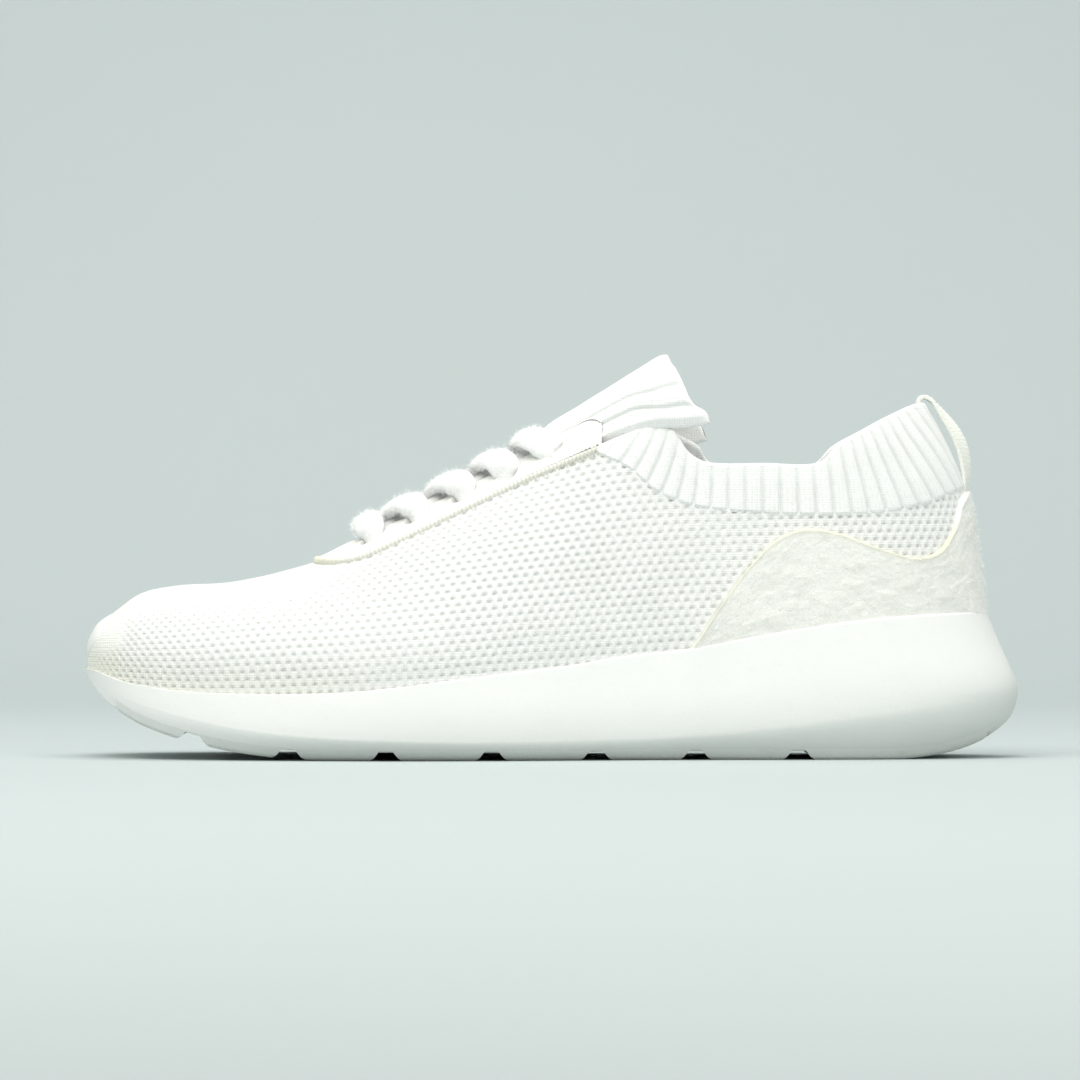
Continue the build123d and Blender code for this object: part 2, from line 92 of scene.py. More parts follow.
# ---- the form of the shoe, as in the CAD --------------------------------------------------------
TOE_START, HEEL_START = -60.0, 70.0
TOE_POWER, HEEL_POWER = 2.6, 2.3
FORM_TOE_X = -146.9
EYELET_X = [-57.3, -43.0, -28.2, -13.2, 1.3]
EYELET_Y = 15.0


class Track:
    """A smooth function through given (place, value) knots, level past both ends."""

    def __init__(self, *knots):
        self.at = np.array([knot[0] for knot in knots], float)
        self.value = np.array([knot[1] for knot in knots], float)
        low = np.maximum(np.arange(len(knots)) - 1, 0)
        high = np.minimum(np.arange(len(knots)) + 1, len(knots) - 1)
        self.slope = (self.value[high] - self.value[low]) / (self.at[high] - self.at[low])

    def __call__(self, place):
        place = np.clip(np.asarray(place, float), self.at[0], self.at[-1])
        index = np.clip(np.searchsorted(self.at, place, side="right") - 1, 0, len(self.at) - 2)
        span = self.at[index + 1] - self.at[index]
        part = (place - self.at[index]) / span
        rise = 3 * part**2 - 2 * part**3
        bend_in = part**3 - 2 * part**2 + part
        bend_out = part**3 - part**2
        straight = self.value[index] * (1 - rise) + self.value[index + 1] * rise
        return straight + span * (self.slope[index] * bend_in + self.slope[index + 1] * bend_out)


lateral_half = Track(
    (-147, 50), (-105, 51), (-80, 51.5), (-50, 52), (-20, 48.5), (15, 40.5), (45, 36), (75, 35), (140, 35))
medial_half = Track(
    (-147, 43), (-105, 45), (-80, 47), (-50, 46), (-20, 41), (15, 34), (45, 31.5), (75, 33), (140, 34))
centre_y = Track((-147, 8), (-105, 4.5), (-60, 1), (-20, 0), (140, 0))
widest_z = Track((-147, 33), (-130, 28), (-110, 27), (-60, 27), (0, 34), (40, 39), (70, 43), (140, 46))
ridge_z = Track(
    (-147, 36), (-144, 41.5), (-139, 45.2), (-130, 51.5), (-118, 54), (-100, 55.3), (-77, 60.8), (-64, 66.5),
    (-50, 73.6), (-30, 84), (-10, 95), (5, 106), (20, 124), (45, 150), (70, 155),
)
arch_power = Track(
    (-147, 2.2), (-100, 2.3), (-70, 2.0), (-40, 1.85), (0, 1.9), (20, 2.1), (45, 2.6), (70, 3.0))
arch_lean = Track((-100, 0), (-60, 0.03), (-20, 0.08), (20, 0.2), (45, 0.38), (70, 0.45))
heel_back_x = Track(
    (6, 137), (30, 137.2), (46, 136.2), (67, 133.6), (78, 132), (86, 130), (98, 125), (112, 117.5),
    (120, 113),
)
rim_z = Track(
    (-148, 28.0), (-142.7, 27.2), (-137, 25.2), (-130, 23.4), (-111, 21.2), (-70, 20.9), (-48, 22.8),
    (-16, 26.9),
    (3, 29.1), (22, 32.3), (44, 34.8), (66, 38.9), (95, 43.4), (120, 45.4), (150, 46.2),
)
ground_line = Track(
    (-148, 28), (-146.5, 25.5), (-142, 20.3), (-137.7, 16.5), (-128.5, 11), (-115, 6.3), (-100, 2.9),
    (-85, 0.9),
    (-65, 0), (108, 0), (122, 1.4), (130, 3.4), (137.4, 6.6), (144, 11.5), (148, 17),
)
sole_flare = Track((-148, 1.0), (-120, 2.6), (-60, 3.6), (0, 4.6), (60, 5.6), (150, 6.6))
sole_tuck = Track((-148, 8), (-100, 7), (0, 6), (100, 7), (150, 9))
crease_z = Track((-148, 26), (-127, 17), (-90, 9), (-40, 6), (15, 6), (60, 9), (100, 14), (148, 19.6))
sole_heel_x = Track(
    (0, 133), (6.5, 140), (12, 145), (19.6, HEEL_X), (24.4, 146.9), (35.4, 142), (46, 137.6), (54, 134))
rib_line = Track(
    (13, 97), (15.5, 95.6), (24, 91.5), (33, 84), (44, 79.6), (63, 77.4), (88, 76.6), (103, 77.4),
    (117, 80), (126, 83.5), (134, 86.5),
)
top_line = Track(
    (15.5, 99.0), (24, 102.4), (31, 104.3), (38, 103.4), (43, 96.4), (49, 93.1), (67, 92.8), (84, 93),
    (90, 98.6), (99, 103.6), (108, 108.4), (117.5, 112.4), (130, 113.2),
)
heel_piece_line = Track(
    (43, 34.2), (48, 41), (53.5, 49.5), (62, 60.5), (70, 68.6), (79, 72.2), (90, 70.8), (102, 66.4),
    (113, 63.4), (121, 65), (126, 72), (128.5, 81), (133, 86.4),
)
stay_low_line = Track((-76, 56), (-66, 59.6), (-50, 66.6), (-28, 77.2), (-6, 87.6), (15.4, 96.6), (18, 98))


def ground_z(x):
    """Height of the sole's lower face, never below the ground."""
    return np.maximum(ground_line(x), 0.0)


def closing(part, power):
    """How the half-width closes to nothing towards an end of the shoe."""
    return np.maximum(1 - np.clip(part, 0, 1) ** power, 0) ** (1 / power)


def half_width(x, side, toe_x=FORM_TOE_X, heel_x=HEEL_X, extra=0.0):
    """Plan half-width of the form on one side, -1 lateral and 1 medial."""
    x = np.asarray(x, float)
    base = np.where(np.asarray(side) < 0, lateral_half(x), medial_half(x)) + extra
    toe = closing((TOE_START - x) / (TOE_START - toe_x), TOE_POWER)
    heel = closing((x - HEEL_START) / (heel_x - HEEL_START), HEEL_POWER)
    return base * np.where(x < TOE_START, toe, np.where(x > HEEL_START, heel, 1.0))


def arch_shrink(x, z):
    """How much narrower than its widest the form is at height z."""
    rise = np.clip((z - widest_z(x)) / (ridge_z(x) - widest_z(x)), 0, 1)
    return (1 - arch_lean(x) * rise) * closing(rise, arch_power(x))


def face_height(x, y):
    """Height of the form over plan points on the instep."""
    x, y = np.broadcast_arrays(np.asarray(x, float), np.asarray(y, float))
    offset = y - centre_y(x)
    half = half_width(x, np.sign(offset))
    low, high = np.zeros(x.shape), np.ones(x.shape)
    for _ in range(32):
        rise = (low + high) / 2
        inside = half * (1 - arch_lean(x) * rise) * closing(rise, arch_power(x)) > np.abs(offset)
        low, high = np.where(inside, rise, low), np.where(inside, high, rise)
    return widest_z(x) + (ridge_z(x) - widest_z(x)) * low


def face_normal(x, y):
    """Outward direction of the form over plan points on the instep."""
    step = 1.5
    along = (face_height(x + step, y) - face_height(x - step, y)) / (2 * step)
    across = (face_height(x, y + step) - face_height(x, y - step)) / (2 * step)
    return unit(np.stack([-along, -across, np.ones_like(along)], -1))


def face_point(x, y, lift):
    """Points over or under the instep, measured along the outward direction."""
    x, y = np.broadcast_arrays(np.asarray(x, float), np.asarray(y, float))
    place = np.stack([x, y, face_height(x, y)], -1)
    return place + face_normal(x, y) * np.asarray(lift)[..., None]


# ---- walls of the form, by station round the plan ------------------------------------------------
WALL_BASE_Z = 14.0
BASE_STEPS, PROFILE_STEPS = 30, 160


def wall_profile(station, side):
    """Points up the form at one station: x itself up to the heel start, then a turn of a quarter per unit."""
    x = min(station, HEEL_START)
    low, top = float(widest_z(x)), max(float(ridge_z(x)), float(widest_z(x)) + 1)
    turn = np.linspace(0, math.pi / 2, PROFILE_STEPS)
    power = float(arch_power(x))
    across, up = np.cos(turn).clip(0) ** (2 / power), np.sin(turn) ** (2 / power)
    z = np.concatenate([np.linspace(WALL_BASE_Z, low, BASE_STEPS, endpoint=False), low + (top - low) * up])
    if station <= HEEL_START:
        half = float(half_width(x, side))
        y = half * np.concatenate([np.ones(BASE_STEPS), across * (1 - arch_lean(x) * up)])
        return np.stack([np.full(len(z), x), centre_y(x) + side * y, z], -1)
    turn = math.pi / 2 * max(1 - (station - HEEL_START), 0)
    x = HEEL_START + (heel_back_x(z) - HEEL_START) * math.cos(turn) ** (2 / HEEL_POWER)
    base = lateral_half(x) if side < 0 else medial_half(x)
    y = base * math.sin(turn) ** (2 / HEEL_POWER) * arch_shrink(x, z)
    return np.stack([x, centre_y(x) + side * y, z], -1)


def even_stations(side, spacing, first=FORM_TOE_X, last=HEEL_START + 1):
    """Stations an even distance apart along the plan of the form at its reference height."""
    fine = np.concatenate([
        FORM_TOE_X + (TOE_START - FORM_TOE_X) * np.linspace(0, 1, 400) ** 2,
        np.linspace(TOE_START + 0.5, HEEL_START, 200),
        HEEL_START + np.linspace(0, 1, 200)[1:],
    ])
    fine = fine[(fine >= first) & (fine <= last)]
    places = np.array([wall_profile(station, side)[BASE_STEPS] for station in fine])
    runs = np.linalg.norm(np.diff(places[:, :2], axis=0), axis=1)
    length = np.concatenate([[0], np.cumsum(runs)])
    wanted = np.linspace(0, length[-1], int(length[-1] / spacing) + 1)
    return np.interp(wanted, length, fine), wanted


def lengths_along(points):
    """Running length of a polyline."""
    return np.concatenate([[0], np.cumsum(np.linalg.norm(np.diff(points, axis=0), axis=1))])


def sample(points, at):
    """Points at given running lengths of a polyline."""
    length = lengths_along(points)
    return np.stack([np.interp(at, length, points[:, axis]) for axis in range(3)], -1)


def grid_normals(grid, side):
    """Outward unit normals of a grid whose rows climb and whose columns run towards the heel."""
    return unit(np.cross(np.gradient(grid, axis=1), np.gradient(grid, axis=0)) * -side)


# ---- seeded noise ----------------------------------------------------------------------------------
def value_noise(points, scale, seed):
    """Smooth noise from -1 to 1 over 3-D points, with features about one scale across."""
    place = np.asarray(points, float) / scale + 1000.0
    cell = np.floor(place).astype(np.int64)
    part = place - cell
    part = part * part * (3 - 2 * part)
    total = np.zeros(place.shape[:-1])
    for corner in range(8):
        step = np.array([corner & 1, corner >> 1 & 1, corner >> 2 & 1])
        key = (cell + step) @ np.array([73856093, 19349663, 83492791]) + seed * 2654435761
        key = (key ^ (key >> 13)) * 1274126177 & 0x7FFFFFFF
        key = (key ^ (key >> 16)) & 0xFFFF
        weight = np.prod(np.where(step == 1, part, 1 - part), axis=-1)
        total += weight * (key / 32767.5 - 1)
    return total


def layered_noise(points, scale, seed, layers=3):
    """Several octaves of value noise."""
    total, amount = 0.0, 1.0
    for index in range(layers):
        total = total + amount * value_noise(points, scale / 2**index, seed + index)
        amount *= 0.5
    return total / 1.75


def smooth_step(low, high, value):
    part = np.clip((value - low) / (high - low), 0, 1)
    return part * part * (3 - 2 * part)


# ---- meshes --------------------------------------------------------------------------------------
def make_object(name, points, faces, material, body="shoe", marks=None, smooth=True):
    """A mesh object in metres, riding on a body; marks are stored point by point."""
    mesh = bpy.data.meshes.new(name)
    faces = faces if isinstance(faces, list) else faces.tolist()
    mesh.from_pydata((np.reshape(points, (-1, 3)) * MM).tolist(), [], faces)
    if smooth:
        mesh.polygons.foreach_set("use_smooth", [True] * len(mesh.polygons))
    for key, values in (marks or {}).items():
        layer = mesh.attributes.new(key, "FLOAT", "POINT")
        layer.data.foreach_set("value", np.asarray(values, np.float32).reshape(-1))
    mesh.materials.append(material)
    mesh.update()
    obj = bpy.data.objects.new(name, mesh)
    bpy.context.collection.objects.link(obj)
    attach(obj, body)
    return obj


def grid_faces(rows, columns, flip=False, keep=None, wrap=False):
    """Quads of a rows by columns grid, only where all corners are kept."""
    index = np.arange(rows * columns).reshape(rows, columns)
    if wrap:
        index = np.concatenate([index, index[:, :1]], axis=1)
    a, b, c, d = index[:-1, :-1], index[:-1, 1:], index[1:, 1:], index[1:, :-1]
    quads = np.stack([a, d, c, b] if flip else [a, b, c, d], -1).reshape(-1, 4)
    if keep is not None:
        quads = quads[keep.reshape(-1)[quads].all(axis=1)]
    return quads


def tube_faces(rings, around, flip=False):
    """Faces of a closed tube whose rings are the rows of a grid, with flat ends."""
    last = (rings - 1) * around
    ends = [list(range(around)), list(range(last, last + around))[::-1]]
    return grid_faces(rings, around, flip, wrap=True).tolist() + ends


def fix_normals(obj, merge=True):
    """Merges doubled points, if asked to, and turns every face outward."""
    modelled = bmesh.new()
    modelled.from_mesh(obj.data)
    if merge:
        bmesh.ops.remove_doubles(modelled, verts=modelled.verts, dist=1e-6)
    bmesh.ops.recalc_face_normals(modelled, faces=modelled.faces)
    modelled.to_mesh(obj.data)
    modelled.free()


def compact(points, faces, marks=None):
    """Drops the points no face uses."""
    used = np.unique(faces)
    renumber = np.full(len(points), -1)
    renumber[used] = np.arange(len(used))
    marks = {key: np.asarray(values)[used] for key, values in (marks or {}).items()}
    return points[used], renumber[faces], marks


def grid_object(name, grid, material, body="shoe", flip=False, keep=None, wrap=False, marks=None):
    """An object from a grid of points."""
    rows, columns = grid.shape[:2]
    faces = grid_faces(rows, columns, flip, keep, wrap)
    flat_marks = {key: np.asarray(values).reshape(-1) for key, values in (marks or {}).items()}
    points, faces, flat_marks = compact(grid.reshape(-1, 3), faces, flat_marks)
    return make_object(name, points, faces, material, body, flat_marks)


# ---- materials -------------------------------------------------------------------------------------
def new_material(name, roughness=0.8, specular=0.3, sheen=0.0):
    """A material with its node tree emptied down to a principled shader."""
    material = bpy.data.materials.new(name)
    material.use_nodes = True
    nodes = material.node_tree.nodes
    nodes.clear()
    output = nodes.new("ShaderNodeOutputMaterial")
    shader = nodes.new("ShaderNodeBsdfPrincipled")
    material.node_tree.links.new(shader.outputs[0], output.inputs[0])
    shader.inputs["Roughness"].default_value = roughness
    shader.inputs["Specular IOR Level"].default_value = specular
    shader.inputs["Sheen Weight"].default_value = sheen
    return material, material.node_tree, shader


def add_node(tree, kind, inputs=None, **settings):
    node = tree.nodes.new(kind)
    for key, value in settings.items():
        setattr(node, key, value)
    for key, value in (inputs or {}).items():
        if isinstance(value, bpy.types.NodeSocket):
            tree.links.new(value, node.inputs[key])
        else:
            node.inputs[key].default_value = value
    return node


def map_range(tree, value, low, high):
    """A value brought from low..high to 0..1."""
    span = add_node(tree, "ShaderNodeMapRange", {"Value": value, "From Min": low, "From Max": high})
    return span.outputs[0]


def noise_factor(tree, scale, detail=4.0, low=0.4, high=0.6, stretch=(1, 1, 1)):
    """A noise pattern over the object, mapped to 0..1."""
    place = add_node(tree, "ShaderNodeTexCoord")
    turned = add_node(tree, "ShaderNodeMapping", {"Vector": place.outputs["Object"], "Scale": stretch})
    noise = add_node(tree, "ShaderNodeTexNoise", {
        "Vector": turned.outputs[0], "Scale": scale, "Detail": detail})
    return map_range(tree, noise.outputs[0], low, high)


def mix_color(tree, factor, first, second, blend="MIX"):
    node = add_node(tree, "ShaderNodeMix", data_type="RGBA", blend_type=blend)
    for socket, value in ((node.inputs[0], factor), (node.inputs[6], first), (node.inputs[7], second)):
        if isinstance(value, bpy.types.NodeSocket):
            tree.links.new(value, socket)
        elif hasattr(value, "__len__"):
            socket.default_value = (*value, 1)
        else:
            socket.default_value = value
    return node.outputs[2]


def mark_factor(tree, name, low=0.0, high=1.0):
    """A stored per-point mark, mapped to 0..1."""
    mark = add_node(tree, "ShaderNodeAttribute", attribute_name=name)
    return map_range(tree, mark.outputs["Fac"], low, high)


def bump(tree, shader, layers):
    """Stacks (height socket, depth in mm) bumps onto the shader."""
    last = None
    for height, depth in layers:
        node = add_node(tree, "ShaderNodeBump", {"Height": height, "Distance": depth * MM, "Strength": 1.0})
        if last is not None:
            tree.links.new(last.outputs[0], node.inputs["Normal"])
        last = node
    tree.links.new(last.outputs[0], shader.inputs["Normal"])


def yarn_height(tree, pitch, stretch=(1, 1, 1), angle=0.0):
    """Fine slanted stitches: two wave bands across each other."""
    place = add_node(tree, "ShaderNodeTexCoord")
    turned = add_node(tree, "ShaderNodeMapping", {
        "Vector": place.outputs["Object"], "Scale": stretch, "Rotation": (0, angle, 0)})
    waves = []
    for direction in ("X", "Z"):
        waves.append(add_node(tree, "ShaderNodeTexWave", {
            "Vector": turned.outputs[0], "Scale": 0.314 / (pitch * MM), "Distortion": 1.5, "Detail": 1.0,
            "Detail Scale": 3.0}, bands_direction=direction).outputs["Fac"])
    return add_node(tree, "ShaderNodeMath", {0: waves[0], 1: waves[1]}, operation="MULTIPLY").outputs[0]


def cloth_material(name, color, shade, yarn=0.7, depth=0.12, mark=None, stain=None, fluff=0.0):
    """White yarn with stitches, fuzz and uneven tone; a mark mixes in the shade colour as painted shade, a
    stain tints worn places.
    """
    roughness = 0.85
    material, tree, shader = new_material(name, roughness, 0.2, 0.35)
    tone = noise_factor(tree, 90, 5, 0.3, 0.7)
    result = mix_color(tree, tone, color, [value * 0.965 for value in color])
    speck = noise_factor(tree, 1600, 3, 0.45, 0.75)
    result = mix_color(tree, speck, result, [value * 0.93 for value in color])
    # Painted shade: the mark mixes the colour towards the shade colour.
    if mark:
        result = mix_color(tree, mark_factor(tree, mark), result, shade)
    if stain:
        result = mix_color(tree, mark_factor(tree, stain[0]), result, stain[1])
    tree.links.new(result, shader.inputs["Base Color"])
    rough = add_node(tree, "ShaderNodeMapRange", {
        "Value": speck, "To Min": roughness - 0.06, "To Max": roughness + 0.1})
    tree.links.new(rough.outputs[0], shader.inputs["Roughness"])
    fuzz = noise_factor(tree, 2600, 4, 0.3, 0.7)
    layers = [(yarn_height(tree, yarn), depth), (fuzz, 0.05 + fluff)]
    bump(tree, shader, layers)
    return material


def smooth_material(name, color, dirt, roughness, grain, grain_scale, specular=0.4, mark=None, shade=None):
    """Moulded foam, coated leather or plastic: faint mottling, a fine grain and scuffs; a mark mixes in the
    shade colour as painted shade.
    """
    material, tree, shader = new_material(name, roughness, specular)
    mottling = noise_factor(tree, 35, 6, 0.35, 0.7)
    result = mix_color(tree, mottling, color, [value * 0.975 for value in color])
    scuffs = noise_factor(tree, 160, 8, 0.58, 0.78, (1, 1, 3))
    result = mix_color(tree, scuffs, result, dirt)
    # Painted shade: the mark mixes the colour towards the shade colour.
    if mark:
        result = mix_color(tree, mark_factor(tree, mark), result, shade)
    tree.links.new(result, shader.inputs["Base Color"])
    rough = add_node(tree, "ShaderNodeMapRange", {
        "Value": mottling, "To Min": roughness - 0.05, "To Max": roughness + 0.08})
    tree.links.new(rough.outputs[0], shader.inputs["Roughness"])
    place = add_node(tree, "ShaderNodeTexCoord")
    cells = add_node(tree, "ShaderNodeTexVoronoi", {
        "Vector": place.outputs["Object"], "Scale": float(grain_scale)})
    bump(tree, shader, [(cells.outputs[0], grain), (noise_factor(tree, 220, 5, 0.3, 0.7), grain * 1.5)])
    return material


# The shade colours of the marked looks below are painted shade, mixed in where each mesh stores its mark.
WHITE = [0.88, 0.885, 0.865]
KNIT_SHADE = [0.66, 0.685, 0.66]
STAIN = [0.80, 0.78, 0.60]
knit_look = cloth_material("knit_yarn", WHITE, KNIT_SHADE, 0.75, 0.14, "painted_shade", ("stain", STAIN))
rib_look = cloth_material(
    "rib_yarn", [0.905, 0.91, 0.895], [0.56, 0.59, 0.57], 0.8, 0.1, "painted_shade", ("stain", [0.90, 0.78, 0.68]))
lining_look = cloth_material("lining_cloth", [0.80, 0.82, 0.81], WHITE, 0.6, 0.08)
board_look = cloth_material("board_fleece", [0.76, 0.76, 0.72], WHITE, 1.2, 0.05)
lace_look = cloth_material(
    "lace_braid", [0.965, 0.965, 0.955], [0.93, 0.93, 0.915], 0.9, 0.06, "painted_shade", fluff=0.04)
stitch_look = cloth_material("stitch_thread", [0.80, 0.79, 0.66], WHITE, 0.4, 0.06)
tape_look = cloth_material("tab_webbing", [0.91, 0.915, 0.85], [0.72, 0.74, 0.66], 0.9, 0.08, "painted_shade")
suede_look = cloth_material(
    "heel_suede", [0.90, 0.905, 0.87], [0.82, 0.825, 0.78], 1.6, 0.04, "painted_shade", ("stain", STAIN), 0.08)
stay_look = smooth_material("coated_microfibre", [0.88, 0.88, 0.85], [0.80, 0.80, 0.72], 0.5, 0.03, 2200,
                            mark="painted_shade", shade=[0.45, 0.46, 0.44])
film_look = smooth_material("toe_film", [0.87, 0.87, 0.84], [0.80, 0.78, 0.68], 0.42, 0.015, 1200)
foam_look = smooth_material("sole_foam", [0.86, 0.865, 0.845], [0.83, 0.835, 0.805], 0.55, 0.03, 1500,
                            mark="painted_shade", shade=[0.62, 0.65, 0.62])
tread_look = smooth_material("tread_rubber", [0.72, 0.74, 0.715], [0.66, 0.68, 0.655], 0.6, 0.05, 1300)
puff_look = smooth_material("stiffener_sheet", [0.78, 0.77, 0.70], [0.70, 0.69, 0.62], 0.6, 0.04, 900)
insole_look = smooth_material("insole_foam", [0.80, 0.81, 0.79], [0.72, 0.73, 0.70], 0.8, 0.12, 900)
tip_look = smooth_material("tip_plastic", [0.82, 0.83, 0.82], [0.74, 0.75, 0.74], 0.25, 0.01, 700, 0.5)

# ---- stage, light and camera ----------------------------------------------------------------------
SCALE_MM_PER_PIXEL = 0.3165
CAMERA_DISTANCE, CAMERA_HEIGHT, CAMERA_X = 2300.0, 68.5, -3.5


def aim(obj, target):
    direction = Vector(target) - obj.location
    obj.rotation_euler = direction.to_track_quat("-Z", "Y").to_euler()


def area_light(name, place, target, size, power, color=(1, 1, 1)):
    data = bpy.data.lights.new(name, "AREA")
    data.shape, data.size, data.size_y, data.energy, data.color = "RECTANGLE", size[0], size[1], power, color
    light = bpy.data.objects.new(name, data)
    bpy.context.collection.objects.link(light)
    light.location = place
    aim(light, target)
    return light


def plain_material(name, color, roughness):
    material, tree, shader = new_material(name, roughness, 0.3)
    tone = noise_factor(tree, 2.2, 3, 0.3, 0.7)
    result = mix_color(tree, tone, color, [value * 0.985 for value in color])
    tree.links.new(result, shader.inputs["Base Color"])
    # Seen from behind, the backdrop is clear, so that the object shows from every side.
    facing = add_node(tree, "ShaderNodeNewGeometry")
    clear = add_node(tree, "ShaderNodeBsdfTransparent")
    mixed = add_node(tree, "ShaderNodeMixShader", {0: facing.outputs["Backfacing"]})
    tree.links.new(shader.outputs[0], mixed.inputs[1])
    tree.links.new(clear.outputs[0], mixed.inputs[2])
    output = next(node for node in tree.nodes if node.type == "OUTPUT_MATERIAL")
    tree.links.new(mixed.outputs[0], output.inputs[0])
    return material


def build_stage():
    """A pale table that curves up into a plain backdrop."""
    profile = [(-6.0, 0.0), (-2.0, 0.0), (0.55, 0.0), (0.75, 0.0)]
    profile += [
        (0.75 + 0.5 * math.sin(turn), 0.5 - 0.5 * math.cos(turn))
        for turn in np.linspace(0.15, math.pi / 2, 14)]
    profile += [(1.25, 3.2)]
    points = [(x, y, FLOOR_Z * MM + z) for y, z in profile for x in (-3.0, 3.0)]
    faces = [(2 * i, 2 * i + 1, 2 * i + 3, 2 * i + 2) for i in range(len(profile) - 1)]
    mesh = bpy.data.meshes.new("floor")
    mesh.from_pydata(points, [], faces)
    mesh.polygons.foreach_set("use_smooth", [True] * len(mesh.polygons))
    mesh.materials.append(plain_material("pale_paper", [0.475, 0.53, 0.53], 0.7))
    floor = bpy.data.objects.new("floor", mesh)
    bpy.context.collection.objects.link(floor)
    area_light("key", (-0.5, -0.9, 1.5), (0, 0, 0.06), (1.4, 1.0), 20, (1.0, 0.985, 0.955))
    area_light("fill", (0.9, -1.3, 0.5), (0, 0, 0.06), (1.2, 1.2), 5.5, (1.0, 0.99, 0.97))
    area_light("top", (0.1, 0.2, 1.6), (0, 0, 0.05), (1.6, 1.2), 17, (1.0, 0.99, 0.965))
    world = bpy.data.worlds.new("studio")
    world.use_nodes = True
    world.node_tree.nodes["Background"].inputs[0].default_value = (0.93, 0.955, 0.93, 1)
    world.node_tree.nodes["Background"].inputs[1].default_value = 0.55
    bpy.context.scene.world = world


def build_camera():
    data = bpy.data.cameras.new("camera")
    frame_width = 1080 * SCALE_MM_PER_PIXEL
    data.sensor_width = 36
    data.lens = 36 * CAMERA_DISTANCE / frame_width
    data.clip_start, data.clip_end = 0.05, 20
    camera = bpy.data.objects.new("camera", data)
    bpy.context.collection.objects.link(camera)
    camera.location = (CAMERA_X * MM, -CAMERA_DISTANCE * MM, CAMERA_HEIGHT * MM)
    camera.rotation_euler = (math.pi / 2, 0, 0)
    bpy.context.scene.camera = camera


build_camera()
build_stage()


# ---- the lace ----------------------------------------------------------------------------------------
FIBRE_HALF_WIDTH = 0.06
over_shift = Track((-57, 2.4), (-43, 2.2), (-28, 1.6), (-13, 0.0), (1.3, -2.8))


def crossing(index, side, over):
    """From under one eyelet, across the throat, to over the next eyelet on the other side."""
    x0, x1 = EYELET_X[index], EYELET_X[index + 1]
    pitch = x1 - x0
    lift = 1.9 if over else -1.2
    back = over_shift(x1)
    return [
        face_point(x0, side * (EYELET_Y - 0.9), -4.6),
        face_point(x0 + 0.22 * pitch, side * 7.2, -1.4),
        face_point(x0 + 0.5 * pitch + 0.5 * back, 0.0, 2.2 + lift),
        face_point(x0 + 0.78 * pitch + back, -side * 8.0, 5.4),
        face_point(x1 + back, -side * (EYELET_Y - 2.2), 4.9),
    ]


def tail(side):
    """From under the last eyelet, down inside the quarter and forward along the edge of the insole."""
    heights = [
        (8, 16.5, 86), (7, 20.5, 74), (-2, 25.5, 61), (-14, 30.5, 47), (-30, 34, 35), (-48, 36, 28.5),
        (-66, 36.5, 26), (-82, 35.5, 26.5),
    ]
    start = face_point(EYELET_X[-1], side * EYELET_Y, -5.0)
    return [start] + [np.array([x, side * y, z]) for x, y, z in heights]


def half_lace(side):
    """One half of the lace, from the bottom bar to its end."""
    route = [face_point(EYELET_X[0] + 2.4, side * (EYELET_Y - 2.2), 4.9)]
    for index in range(len(EYELET_X) - 1):
        turned = side * (-1) ** index
        route += crossing(index, turned, turned > 0)
    return route + tail(side * (-1) ** (len(EYELET_X) - 1))


def lace_route():
    """The whole lace: up one side, across the bottom bar and up the other."""
    first_x = EYELET_X[0]
    bar = [face_point(first_x + 0.9, -4.5, 4.9), face_point(first_x + 0.9, 4.5, 5.0)]
    return half_lace(-1)[::-1] + bar + half_lace(1)


def spline_line(name, points):
    """Points read from the smooth NURBS line with these control points, in millimetres."""
    curve = bpy.data.curves.new(name, "CURVE")
    curve.dimensions, curve.resolution_u = "3D", 14
    spline = curve.splines.new("NURBS")
    spline.points.add(len(points) - 1)
    for point, place in zip(spline.points, points):
        point.co = (*(np.array(place) * MM), 1)
    spline.order_u, spline.use_endpoint_u = 3, True
    line = bpy.data.objects.new(name, curve)
    mesh = bpy.data.meshes.new_from_object(line)
    places = np.array([vertex.co for vertex in mesh.vertices]) / MM
    bpy.data.objects.remove(line)
    bpy.data.meshes.remove(mesh)
    return places


def even_line(points, step):
    length = lengths_along(points)
    count = max(int(round(length[-1] / step)), 2)
    return sample(points, np.linspace(0, length[-1], count + 1))


def tube_frames(path, up):
    """Tangent, side and up directions along a path, with the up held near a wanted direction."""
    tangent = unit(np.gradient(path, axis=0))
    across = unit(np.cross(tangent, up), 1e-6)
    for index in range(1, len(across)):
        if across[index] @ across[index - 1] < 0:
            across[index] *= -1
    kernel = np.ones(9) / 9
    for axis in range(3):
        padded = np.pad(across[:, axis], 4, mode="edge")
        across[:, axis] = np.convolve(padded, kernel, mode="valid")
    across = unit(across - tangent * (across * tangent).sum(1, keepdims=True))
    return tangent, across, np.cross(across, tangent)


def instep_up(path):
    """The outward direction of the instep at each point of a path over it."""
    inside = (path[:, 0] > -75) & (path[:, 0] < 14)
    up = np.tile([0.0, 0.0, 1.0], (len(path), 1))
    up[inside] = face_normal(path[inside, 0], np.clip(path[inside, 1], -25, 25))
    return up


